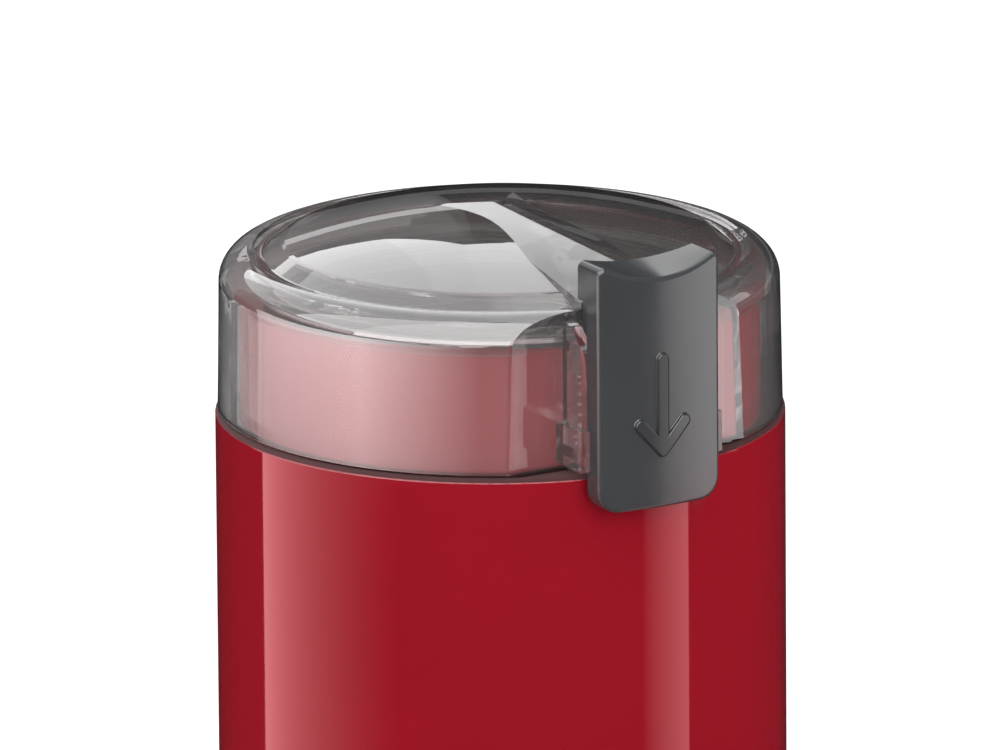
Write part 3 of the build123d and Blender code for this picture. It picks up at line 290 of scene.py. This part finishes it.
def make_grain_group():
    """Fine even grain of a moulded or cast surface, as a normal."""
    tree, given, out = new_group(
        "fine_grain", {"Scale": 1500.0, "Depth": 0.00002}, {"Normal": "NodeSocketVector"}
    )
    grain = add_node(
        tree,
        "ShaderNodeTexNoise",
        {"Vector": object_point(tree), "Scale": given.outputs["Scale"], "Detail": 2.0},
    )
    bump = add_node(
        tree,
        "ShaderNodeBump",
        {"Strength": 1.0, "Distance": given.outputs["Depth"], "Height": grain.outputs["Fac"]},
    )
    tree.links.new(bump.outputs["Normal"], out.inputs["Normal"])
    return tree


def make_turned_group():
    """Fine lines that run round the Z axis, as a lathe or a polishing wheel leaves them."""
    tree, given, out = new_group(
        "turned_lines",
        {"Scale": 2500.0, "Depth": 0.000004, "Smooth": 0.2, "Rough": 0.35},
        {"Normal": "NodeSocketVector", "Roughness": "NodeSocketFloat"},
    )
    parts = add_node(tree, "ShaderNodeSeparateXYZ", {"Vector": object_point(tree)})
    flat = add_node(tree, "ShaderNodeCombineXYZ", {"X": parts.outputs["X"], "Y": parts.outputs["Y"]})
    reach = add_node(tree, "ShaderNodeVectorMath", {0: flat.outputs["Vector"]}, operation="LENGTH")
    across = add_node(
        tree, "ShaderNodeCombineXYZ", {"X": reach.outputs["Value"], "Y": parts.outputs["Z"]}
    )
    lines = add_node(
        tree,
        "ShaderNodeTexNoise",
        {"Vector": across.outputs["Vector"], "Scale": given.outputs["Scale"], "Detail": 3.0},
        noise_dimensions="2D",
    )
    bump = add_node(
        tree,
        "ShaderNodeBump",
        {"Strength": 1.0, "Distance": given.outputs["Depth"], "Height": lines.outputs["Fac"]},
    )
    rough = add_node(
        tree,
        "ShaderNodeMapRange",
        {
            "Value": lines.outputs["Fac"],
            "From Min": 0.3,
            "From Max": 0.7,
            "To Min": given.outputs["Smooth"],
            "To Max": given.outputs["Rough"],
        },
    )
    tree.links.new(bump.outputs["Normal"], out.inputs["Normal"])
    tree.links.new(rough.outputs["Result"], out.inputs["Roughness"])
    return tree


def make_layer_group():
    """Edges of stacked sheet or laid wire: a dark line at each pitch along one direction."""
    tree, given, out = new_group(
        "laid_layers",
        {"Along X": 0.0, "Along Y": 0.0, "Along Z": 1.0, "Pitch": 0.0005, "Depth": 0.00005},
        {"Normal": "NodeSocketVector", "Mask": "NodeSocketFloat"},
    )
    along = add_node(
        tree,
        "ShaderNodeCombineXYZ",
        {"X": given.outputs["Along X"], "Y": given.outputs["Along Y"], "Z": given.outputs["Along Z"]},
    )
    run = add_node(
        tree,
        "ShaderNodeVectorMath",
        {0: object_point(tree), 1: along.outputs["Vector"]},
        operation="DOT_PRODUCT",
    )
    count = add_node(
        tree, "ShaderNodeMath", {0: run.outputs["Value"], 1: given.outputs["Pitch"]}, operation="DIVIDE"
    )
    wave = add_node(tree, "ShaderNodeMath", {0: count.outputs["Value"], 1: 1.0}, operation="PINGPONG")
    bump = add_node(
        tree,
        "ShaderNodeBump",
        {"Strength": 1.0, "Distance": given.outputs["Depth"], "Height": wave.outputs["Value"]},
    )
    tree.links.new(bump.outputs["Normal"], out.inputs["Normal"])
    tree.links.new(wave.outputs["Value"], out.inputs["Mask"])
    return tree


tone_drift = make_tone_group()
fine_grain = make_grain_group()
turned_lines = make_turned_group()
laid_layers = make_layer_group()


metal = 1.0


def new_material(name):
    material = bpy.data.materials.new(name)
    material.use_nodes = True
    tree = material.node_tree
    return material, tree, tree.nodes["Principled BSDF"]


def add_group(tree, group, **values):
    """Node group in a material, its inputs given by name with _ for a space."""
    made = tree.nodes.new("ShaderNodeGroup")
    made.node_tree = group
    for name, value in values.items():
        made.inputs[name.replace("_", " ")].default_value = value
    return made


def shade(colour, factor):
    return tuple(min(1.0, c * factor) for c in colour[:3]) + (1,)


def moulded(
    name, colour, smooth, rough, grain_scale, grain_depth, drift=0.06, scale=40.0, metallic=0.0
):
    """Moulded, cast or plated finish: drifting colour, smudged gloss and a fine grain."""
    material, tree, shader = new_material(name)
    tone = add_group(
        tree,
        tone_drift,
        Dark=shade(colour, 1 - drift),
        Light=shade(colour, 1 + drift),
        Scale=scale,
        Smooth=smooth,
        Rough=rough,
    )
    grain = add_group(tree, fine_grain, Scale=grain_scale, Depth=grain_depth)
    tree.links.new(tone.outputs["Colour"], shader.inputs["Base Color"])
    tree.links.new(tone.outputs["Roughness"], shader.inputs["Roughness"])
    tree.links.new(grain.outputs["Normal"], shader.inputs["Normal"])
    shader.inputs["Metallic"].default_value = metallic
    return material


def turned(name, colour, smooth, rough, line_scale, depth, drift=0.08):
    """Metal with fine lines round the motor's axis."""
    material, tree, shader = new_material(name)
    lines = add_group(tree, turned_lines, Scale=line_scale, Depth=depth, Smooth=smooth, Rough=rough)
    tone = add_group(tree, tone_drift, Dark=shade(colour, 1 - drift), Light=shade(colour, 1 + drift))
    tree.links.new(tone.outputs["Colour"], shader.inputs["Base Color"])
    tree.links.new(lines.outputs["Roughness"], shader.inputs["Roughness"])
    tree.links.new(lines.outputs["Normal"], shader.inputs["Normal"])
    shader.inputs["Metallic"].default_value = metal
    return material


def layered(name, colour, gap_colour, along, pitch, depth, roughness):
    """Metal laid in sheets or wires, darker between them."""
    material, tree, shader = new_material(name)
    layers = add_group(
        tree, laid_layers, Along_X=along[0], Along_Y=along[1], Along_Z=along[2], Pitch=pitch, Depth=depth
    )
    tone = add_group(tree, tone_drift, Dark=gap_colour, Light=colour)
    mixed = mix_colours(tree, layers.outputs["Mask"], gap_colour, tone.outputs["Colour"])
    tree.links.new(mixed, shader.inputs["Base Color"])
    tree.links.new(layers.outputs["Normal"], shader.inputs["Normal"])
    shader.inputs["Metallic"].default_value = metal
    shader.inputs["Roughness"].default_value = roughness
    return material


def smoked_plastic():
    """Clear grey plastic of the lid, darker in the dome, with painted shade along its foot, which lets
    light through to what it covers.
    """
    material, tree, shader = new_material("smoked_plastic")
    wall = add_group(
        tree, tone_drift, Dark=wall_dark, Light=wall_light, Scale=25.0, Smooth=0.0, Rough=0.03
    )
    dome = add_group(tree, tone_drift, Dark=dome_dark, Light=dome_light, Scale=25.0)
    height = add_node(tree, "ShaderNodeSeparateXYZ", {"Vector": object_point(tree)})
    rise = add_node(
        tree,
        "ShaderNodeMapRange",
        {"Value": height.outputs["Z"], "From Min": tint_low, "From Max": tint_high},
        interpolation_type="SMOOTHSTEP",
    )
    tint = mix_colours(tree, rise.outputs["Result"], wall.outputs["Colour"], dome.outputs["Colour"])
    # Foot of the lid mixed towards a dark colour: painted shade of the seam's shadow gap
    foot = add_node(
        tree,
        "ShaderNodeMapRange",
        {"Value": height.outputs["Z"], "From Min": edge_low, "From Max": edge_high},
    )
    tree.links.new(mix_colours(tree, foot.outputs["Result"], foot_painted_shade, tint), shader.inputs["Base Color"])
    tree.links.new(wall.outputs["Roughness"], shader.inputs["Roughness"])
    shader.inputs["Metallic"].default_value = 0.0
    shader.inputs["Transmission Weight"].default_value = 0.95
    shader.inputs["IOR"].default_value = 1.5
    shader.inputs["Coat Weight"].default_value = 1.0
    shader.inputs["Coat Roughness"].default_value = 0.01
    path = tree.nodes.new("ShaderNodeLightPath").outputs
    clear = add_node(tree, "ShaderNodeBsdfTransparent", {"Color": tint})
    mixed = add_node(
        tree,
        "ShaderNodeMixShader",
        {
            0: either(tree, path["Is Shadow Ray"], path["Is Diffuse Ray"]),
            1: shader.outputs["BSDF"],
            2: clear.outputs["BSDF"],
        },
    )
    tree.links.new(mixed.outputs["Shader"], tree.nodes["Material Output"].inputs["Surface"])
    return material


def red_plastic(name, colour):
    """Gloss red shell, dull along the rim that the lid rests on, where its colour is darkened as painted
    shade of the gap under the lid.
    """
    material, tree, shader = new_material(name)
    tone = add_group(
        tree, tone_drift, Dark=shade(colour, 0.97), Light=shade(colour, 1.03), Smooth=0.03, Rough=0.06
    )
    grain = add_group(tree, fine_grain, Scale=300.0, Depth=0.000002)
    height = add_node(tree, "ShaderNodeSeparateXYZ", {"Vector": object_point(tree)}).outputs["Z"]
    above = add_node(
        tree, "ShaderNodeMapRange", {"Value": height, "From Min": rim_low - rim_fade, "From Max": rim_low}
    )
    below = add_node(tree, "ShaderNodeMath", {0: height, 1: rim_high}, operation="LESS_THAN")
    rim = add_node(
        tree,
        "ShaderNodeMath",
        {0: above.outputs["Result"], 1: below.outputs["Value"]},
        operation="MULTIPLY",
    ).outputs["Value"]
    rough = add_node(
        tree,
        "ShaderNodeMapRange",
        {"Value": rim, "To Min": tone.outputs["Roughness"], "To Max": rim_roughness},
    )
    # Rim colour darkened: painted shade of the gap under the lid
    painted_shade_colour = mix_colours(tree, rim, tone.outputs["Colour"], shade(colour, rim_painted_shade))
    tree.links.new(painted_shade_colour, shader.inputs["Base Color"])
    tree.links.new(rough.outputs["Result"], shader.inputs["Roughness"])
    tree.links.new(grain.outputs["Normal"], shader.inputs["Normal"])
    return material


def line_distance(tree, point, start, end):
    """Socket of the distance from a point to a line between two points given across and up."""
    first = Vector((start[0], 0, start[1]))
    run = Vector((end[0], 0, end[1])) - first
    offset = add_node(tree, "ShaderNodeVectorMath", {0: point, 1: first}, operation="SUBTRACT").outputs[0]
    along = add_node(
        tree, "ShaderNodeVectorMath", {0: offset, 1: run / run.length_squared}, operation="DOT_PRODUCT"
    )
    share = add_node(tree, "ShaderNodeClamp", {"Value": along.outputs["Value"]}).outputs["Result"]
    foot = add_node(tree, "ShaderNodeVectorMath", {0: run, "Scale": share}, operation="SCALE").outputs[0]
    gap = add_node(tree, "ShaderNodeVectorMath", {0: offset, 1: foot}, operation="DISTANCE")
    return gap.outputs["Value"]


def button_plastic(name, colour, smooth, rough):
    """Satin plastic with the soft edges of the arrow on its front, whose strokes are painted darker as
    painted shade of the relief.
    """
    material, tree, shader = new_material(name)
    tone = add_group(
        tree, tone_drift, Dark=shade(colour, 0.94), Light=shade(colour, 1.06), Smooth=smooth, Rough=rough
    )
    grain = add_group(tree, fine_grain, Scale=2600.0, Depth=0.000004)
    parts = add_node(tree, "ShaderNodeSeparateXYZ", {"Vector": object_point(tree)})
    side = add_node(tree, "ShaderNodeMath", {0: parts.outputs["X"]}, operation="ABSOLUTE")
    flat = add_node(
        tree, "ShaderNodeCombineXYZ", {"X": side.outputs["Value"], "Z": parts.outputs["Z"]}
    ).outputs["Vector"]
    stem = line_distance(tree, flat, arrow_points["top"], arrow_points["tip"])
    barb = line_distance(tree, flat, arrow_points["tip"], arrow_points["barb"])
    nearest = add_node(tree, "ShaderNodeMath", {0: stem, 1: barb}, operation="MINIMUM")
    raised = add_node(
        tree,
        "ShaderNodeMapRange",
        {
            "Value": nearest.outputs["Value"],
            "From Min": arrow_edge[0],
            "From Max": arrow_edge[1],
            "To Min": 1.0,
            "To Max": 0.0,
        },
        interpolation_type="SMOOTHSTEP",
    )
    front = add_node(
        tree, "ShaderNodeMath", {0: parts.outputs["Y"], 1: button_front}, operation="LESS_THAN"
    )
    mask = add_node(
        tree,
        "ShaderNodeMath",
        {0: raised.outputs["Result"], 1: front.outputs["Value"]},
        operation="MULTIPLY",
    ).outputs["Value"]
    bump = add_node(
        tree,
        "ShaderNodeBump",
        {"Strength": 1.0, "Distance": arrow_rise, "Height": mask, "Normal": grain.outputs["Normal"]},
    )
    # The arrow's strokes are darkened: painted shade standing in for the shading of the raised relief
    painted_shade_colour = mix_colours(tree, mask, tone.outputs["Colour"], shade(colour, 0.85))
    tree.links.new(painted_shade_colour, shader.inputs["Base Color"])
    tree.links.new(tone.outputs["Roughness"], shader.inputs["Roughness"])
    tree.links.new(bump.outputs["Normal"], shader.inputs["Normal"])
    return material


sheet_grey = (0.3, 0.3, 0.31, 1)
sheet_gap = (0.1, 0.09, 0.09, 1)
wire_copper = (0.62, 0.25, 0.1, 1)
wire_gap = (0.2, 0.06, 0.02, 1)
finishes = {
    "red_shell": red_plastic("red_gloss", (0.31, 0.008, 0.018)),
    "smoked_clear": smoked_plastic(),
    "button_grey": button_plastic("button_satin", (0.051, 0.053, 0.056), 0.16, 0.2),
    "spring_steel": moulded("spring_wire", (0.6, 0.6, 0.62), 0.22, 0.32, 900.0, 4e-6, 0.1, 200.0, metal),
    "cup_steel": turned("cup_brushed", (0.66, 0.65, 0.64), 0.16, 0.3, 1800.0, 3e-6),
    "blade_steel": moulded("blade_polish", (0.72, 0.72, 0.73), 0.12, 0.24, 700.0, 4e-6, 0.05, 120.0, metal),
    "screw_steel": moulded("screw_zinc", (0.58, 0.58, 0.6), 0.25, 0.38, 1200.0, 8e-6, 0.08, 150.0, metal),
    "shaft_steel": turned("shaft_ground", (0.6, 0.6, 0.61), 0.15, 0.25, 3000.0, 2e-6),
    "lamination": layered("sheet_stack", sheet_grey, sheet_gap, (0, 0, 1), 0.0005, 6e-5, 0.4),
    "copper_wire": layered("laid_copper", wire_copper, wire_gap, (0.35, 0.35, 0.87), 0.0004, 2e-4, 0.3),
    "copper_bar": turned("turned_copper", (0.72, 0.36, 0.22), 0.2, 0.35, 2400.0, 4e-6),
    "bronze": moulded("sintered_bronze", (0.5, 0.34, 0.17), 0.4, 0.5, 2200.0, 2e-5, 0.12, 300.0, metal),
    "brass": moulded("drawn_brass", (0.72, 0.54, 0.24), 0.22, 0.34, 900.0, 4e-6, 0.06, 150.0, metal),
    "bracket_alloy": moulded("cast_alloy", (0.6, 0.6, 0.61), 0.36, 0.48, 1500.0, 2e-5, 0.06, 90.0, metal),
    "carbon": moulded("pressed_carbon", (0.03, 0.03, 0.032), 0.5, 0.65, 2000.0, 3e-5, 0.2, 400.0),
    "insulator": moulded("brown_board", (0.2, 0.11, 0.05), 0.45, 0.6, 1200.0, 3e-5, 0.2, 150.0),
    "inner_plastic": moulded("inner_grey", (0.35, 0.36, 0.37), 0.4, 0.5, 1800.0, 2e-5),
    "switch_plastic": moulded("switch_black", (0.05, 0.05, 0.055), 0.35, 0.45, 1800.0, 2e-5),
    "rod_plastic": moulded("rod_white", (0.75, 0.75, 0.73), 0.35, 0.45, 1800.0, 1e-5, 0.03),
    "rubber_black": moulded("black_rubber", (0.03, 0.03, 0.03), 0.6, 0.75, 1600.0, 3e-5, 0.15, 120.0),
    "base_grey": moulded("base_grain", (0.06, 0.063, 0.068), 0.42, 0.5, 1400.0, 4e-5),
    "capacitor_yellow": moulded("capacitor_case", (0.7, 0.48, 0.06), 0.25, 0.35, 900.0, 1e-5),
}

for subpart in frame["record"]["subparts"]:
    mesh = nodes[subpart["node"]].data
    mesh.materials.clear()
    mesh.materials.append(finishes[subpart["material_slot"]])


# Wound springs


def sort_by_place(parts, place):
    """Put a bmesh's points, edges or faces in one order, because spin leaves another one each run."""
    for index, part in enumerate(sorted(parts, key=lambda part: tuple(place(part)))):
        part.index = index
    parts.sort()


def add_spring(name, body, joint, places, radius, wire, keep):
    """Wire springs on Z in the space of a CAD node, with flat end turns; joint is not used."""
    low, high = (corner.z for corner in map(Vector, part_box(name)))
    end_rise = end_turn_rise * wire
    rises = [(1, end_rise), (spring_turns - 2, high - low - 2 * wire - 2 * end_rise), (1, end_rise)]
    shape = bmesh.new()
    for x, y in places:
        place = Matrix.Translation((x + radius, y, low + wire)) @ Matrix.Rotation(pi / 2, 4, "X")
        made = bmesh.ops.create_circle(shape, segments=wire_sides, radius=wire, matrix=place)
        edges = dict.fromkeys(edge for point in made["verts"] for edge in point.link_edges)
        ring = made["verts"] + list(edges)
        for count, rise in rises:
            steps = turn_steps * count
            made = bmesh.ops.spin(
                shape,
                geom=ring,
                cent=(x, y, 0),
                axis=(0, 0, 1),
                dvec=(0, 0, rise / steps),
                angle=2 * pi * count,
                steps=steps,
            )
            ring = made["geom_last"]
    bmesh.ops.remove_doubles(shape, verts=shape.verts, dist=merge_distance)
    bmesh.ops.holes_fill(shape, edges=[edge for edge in shape.edges if edge.is_boundary])
    bmesh.ops.recalc_face_normals(shape, faces=shape.faces)
    sort_by_place(shape.verts, lambda point: point.co)
    sort_by_place(shape.edges, lambda edge: edge.verts[0].co + edge.verts[1].co)
    sort_by_place(shape.faces, lambda face: face.calc_center_median())
    for face in shape.faces:
        face.smooth = len(face.verts) == 4
    mesh = bpy.data.meshes.new(name + "_wound")
    shape.to_mesh(mesh)
    shape.free()
    mesh.materials.append(finishes["spring_steel"])
    piece = bpy.data.objects.new(name + "_wound", mesh)
    scene.collection.objects.link(piece)
    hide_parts(name)
    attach(piece, body)
    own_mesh(piece)


add_spring("button_springs", "lid", "button_press", **button_spring)
add_spring("rod_spring", "housing", "rod_press", **rod_spring)


# Studio


def add_stage(name, shape, material, *seen_by):
    """Stage piece from a bmesh, seen only by the named kinds of rays."""
    mesh = bpy.data.meshes.new(name)
    shape.to_mesh(mesh)
    shape.free()
    mesh.materials.append(material)
    piece = bpy.data.objects.new(name, mesh)
    scene.collection.objects.link(piece)
    for kind in ("camera", "diffuse", "glossy", "transmission", "shadow"):
        setattr(piece, "visible_" + kind, kind in seen_by)


def glow(name, level, colour=(1, 1, 1, 1), ramps=None):
    """Even light, or one that the mesh's UV shapes.

    ramps is the power of the rise across and the share that is left at the foot.
    """
    material = bpy.data.materials.new(name)
    material.use_nodes = True
    tree = material.node_tree
    tree.nodes.clear()
    light = add_node(tree, "ShaderNodeEmission", {"Color": colour, "Strength": level})
    out = tree.nodes.new("ShaderNodeOutputMaterial")
    tree.links.new(light.outputs["Emission"], out.inputs["Surface"])
    if ramps:
        power, foot = ramps
        place = tree.nodes.new("ShaderNodeTexCoord").outputs["UV"]
        parts = add_node(tree, "ShaderNodeSeparateXYZ", {"Vector": place})
        across = add_node(tree, "ShaderNodeMath", {0: parts.outputs["X"], 1: power}, operation="POWER")
        up = add_node(
            tree,
            "ShaderNodeMapRange",
            {"Value": parts.outputs["Y"], "To Min": foot * level, "To Max": level},
        )
        both = add_node(
            tree,
            "ShaderNodeMath",
            {0: across.outputs["Value"], 1: up.outputs["Result"]},
            operation="MULTIPLY",
        )
        tree.links.new(both.outputs["Value"], light.inputs["Strength"])
    return material


def add_softbox(name, azimuths, lows, high, level):
    """Curved softbox over the lid, with a lower edge at each of two azimuths, that only gloss shows."""
    shape = bmesh.new()
    bmesh.ops.create_grid(shape, x_segments=stage_steps, y_segments=rise_steps, size=0.5)
    for point in shape.verts:
        across = point.co.x + 0.5
        turn = azimuths[0] + (azimuths[1] - azimuths[0]) * across
        low = lows[0] + (lows[1] - lows[0]) * across
        rise = low + (high - low) * (point.co.y + 0.5)
        point.co = lid_middle + heading(turn, rise) * softbox_distance
    add_stage(name, shape, glow(name, level), "glossy")


def add_strip_light(name, side_angles, heights, level, power, foot=1.0, colour=(1, 1, 1, 1)):
    """Upright softbox that the wall mirrors between two azimuths of its own, brightest at the second."""
    first, last = side_angles
    low, high = heights
    shape = bmesh.new()
    bmesh.ops.create_grid(shape, x_segments=stage_steps, y_segments=1, size=0.5, calc_uvs=False)
    sheet = shape.loops.layers.uv.new("across")
    for face in shape.faces:
        for loop in face.loops:
            loop[sheet].uv = (loop.vert.co.x + 0.5, loop.vert.co.y + 0.5)
    for point in shape.verts:
        angle = first + (last - first) * (point.co.x + 0.5)
        height = low + (high - low) * (point.co.y + 0.5)
        foot_point = heading(angle) * body_radius + heading(2 * angle) * strip_distance
        point.co = (foot_point.x, foot_point.y, height)
    add_stage(name, shape, glow(name, level, colour, (power, foot)), "glossy")


def add_lamp(name, azimuth, elevation, distance, size, power):
    """Soft lamp for colour and shadow, left out of the gloss."""
    data = bpy.data.lights.new(name, "AREA")
    data.size = size
    data.energy = power
    lamp = bpy.data.objects.new(name, data)
    scene.collection.objects.link(lamp)
    away = heading(azimuth, elevation)
    turn = away.to_track_quat("Z", "Y").to_matrix().to_4x4()
    lamp.matrix_world = Matrix.Translation(lid_middle + away * distance) @ turn
    lamp.visible_glossy = False
    lamp.visible_camera = False
    lamp.visible_transmission = False


def add_world():
    world = bpy.data.worlds.new("studio")
    scene.world = world
    world.use_nodes = True
    tree = world.node_tree
    path = tree.nodes.new("ShaderNodeLightPath").outputs
    through = either(tree, path["Is Glossy Ray"], path["Is Transmission Ray"])
    shown = either(tree, path["Is Camera Ray"], through)
    level = add_node(tree, "ShaderNodeMapRange", {"Value": shown, "To Min": ambient_level, "To Max": 1.0})
    tree.nodes["Background"].inputs["Color"].default_value = (1, 1, 1, 1)
    tree.links.new(level.outputs["Result"], tree.nodes["Background"].inputs["Strength"])


def add_floor():
    """White paper with the object's shadow, open from below."""
    material, tree, shader = new_material("floor_paper")
    shader.inputs["Base Color"].default_value = floor_colour
    shader.inputs["Roughness"].default_value = 0.9
    shader.inputs["Specular IOR Level"].default_value = 0.0
    shader.inputs["Emission Color"].default_value = (1, 1, 1, 1)
    path = tree.nodes.new("ShaderNodeLightPath").outputs
    shown = either(tree, path["Is Camera Ray"], path["Is Transmission Ray"])
    level = add_node(tree, "ShaderNodeMath", {0: shown, 1: floor_glow}, operation="MULTIPLY")
    tree.links.new(level.outputs["Value"], shader.inputs["Emission Strength"])
    clear = tree.nodes.new("ShaderNodeBsdfTransparent")
    below = tree.nodes.new("ShaderNodeNewGeometry")
    mixed = add_node(
        tree,
        "ShaderNodeMixShader",
        {0: below.outputs["Backfacing"], 1: shader.outputs["BSDF"], 2: clear.outputs["BSDF"]},
    )
    tree.links.new(mixed.outputs["Shader"], tree.nodes["Material Output"].inputs["Surface"])
    shape = bmesh.new()
    bmesh.ops.create_circle(shape, cap_ends=True, segments=floor_sides, radius=floor_radius)
    add_stage("floor", shape, material, "camera", "diffuse", "transmission", "shadow")


def add_flag(name, sides, level):
    """Grey card behind the lid that only its clear plastic shows."""
    shape = bmesh.new()
    back = heading(180) * flag_distance
    side = heading(90)
    corners = [(sides[0], 0), (sides[1], 0), (sides[1], flag_height), (sides[0], flag_height)]
    points = [back + side * across + Vector((0, 0, up)) for across, up in corners]
    shape.faces.new([shape.verts.new(point) for point in points])
    add_stage(name, shape, glow(name, level), "transmission")


def add_card(name, azimuths, level):
    """Dark card on the floor round the object, which only the clear plastic shows."""
    shape = bmesh.new()
    ends = [shape.verts.new(heading(azimuths[0]) * reach) for reach in card_reaches]
    rim = shape.edges.new(ends)
    turn = radians(azimuths[1] - azimuths[0])
    bmesh.ops.spin(shape, geom=ends + [rim], cent=(0, 0, 0), axis=(0, 0, 1), angle=turn, steps=stage_steps)
    bmesh.ops.translate(shape, verts=shape.verts, vec=(0, 0, card_lift))
    add_stage(name, shape, glow(name, level), "transmission")


def add_dark_room(name, level, upper, *seen_by):
    """Upper or lower half of the dark room round the object."""
    shape = bmesh.new()
    bmesh.ops.create_icosphere(shape, subdivisions=4, radius=dark_wall_radius)
    bmesh.ops.bisect_plane(
        shape,
        geom=shape.verts[:] + shape.edges[:] + shape.faces[:],
        plane_co=(0, 0, 0),
        plane_no=(0, 0, 1),
        clear_inner=upper,
        clear_outer=not upper,
    )
    add_stage(name, shape, glow(name, level), *seen_by)


def add_studio():
    add_world()
    add_floor()
    for name, values in flags.items():
        add_flag(name, *values)
    for step in range(card_steps):
        turn = fade_start + step * fade_turn
        level = fade_level + (card_level - fade_level) * (step + 0.5) / card_steps
        add_card(f"fading_card_{step}", (turn, turn + fade_turn), level)
    add_card("front_card", (fade_start + card_steps * fade_turn, front_card_end), card_level)
    add_card("side_card", side_card_azimuths, side_card_level)
    add_dark_room("dark_wall", dark_wall_level, True, "glossy", "transmission")
    add_dark_room("dark_floor", dark_floor_level, False, "glossy")
    for name, values in body_strips.items():
        add_strip_light(name, *values)
    foot, middle, top = lid_strip_heights
    for name, (sides, power) in lid_strips.items():
        add_strip_light(name, sides, (foot, middle), lid_strip_level, power, lid_strip_foot, pink_strip)
        add_strip_light(name + "_upper", sides, (middle, top), lid_strip_level, power)
    for name, values in softboxes.items():
        add_softbox(name, *values)
    for name, values in lamps.items():
        add_lamp(name, *values)


add_camera()
add_studio()
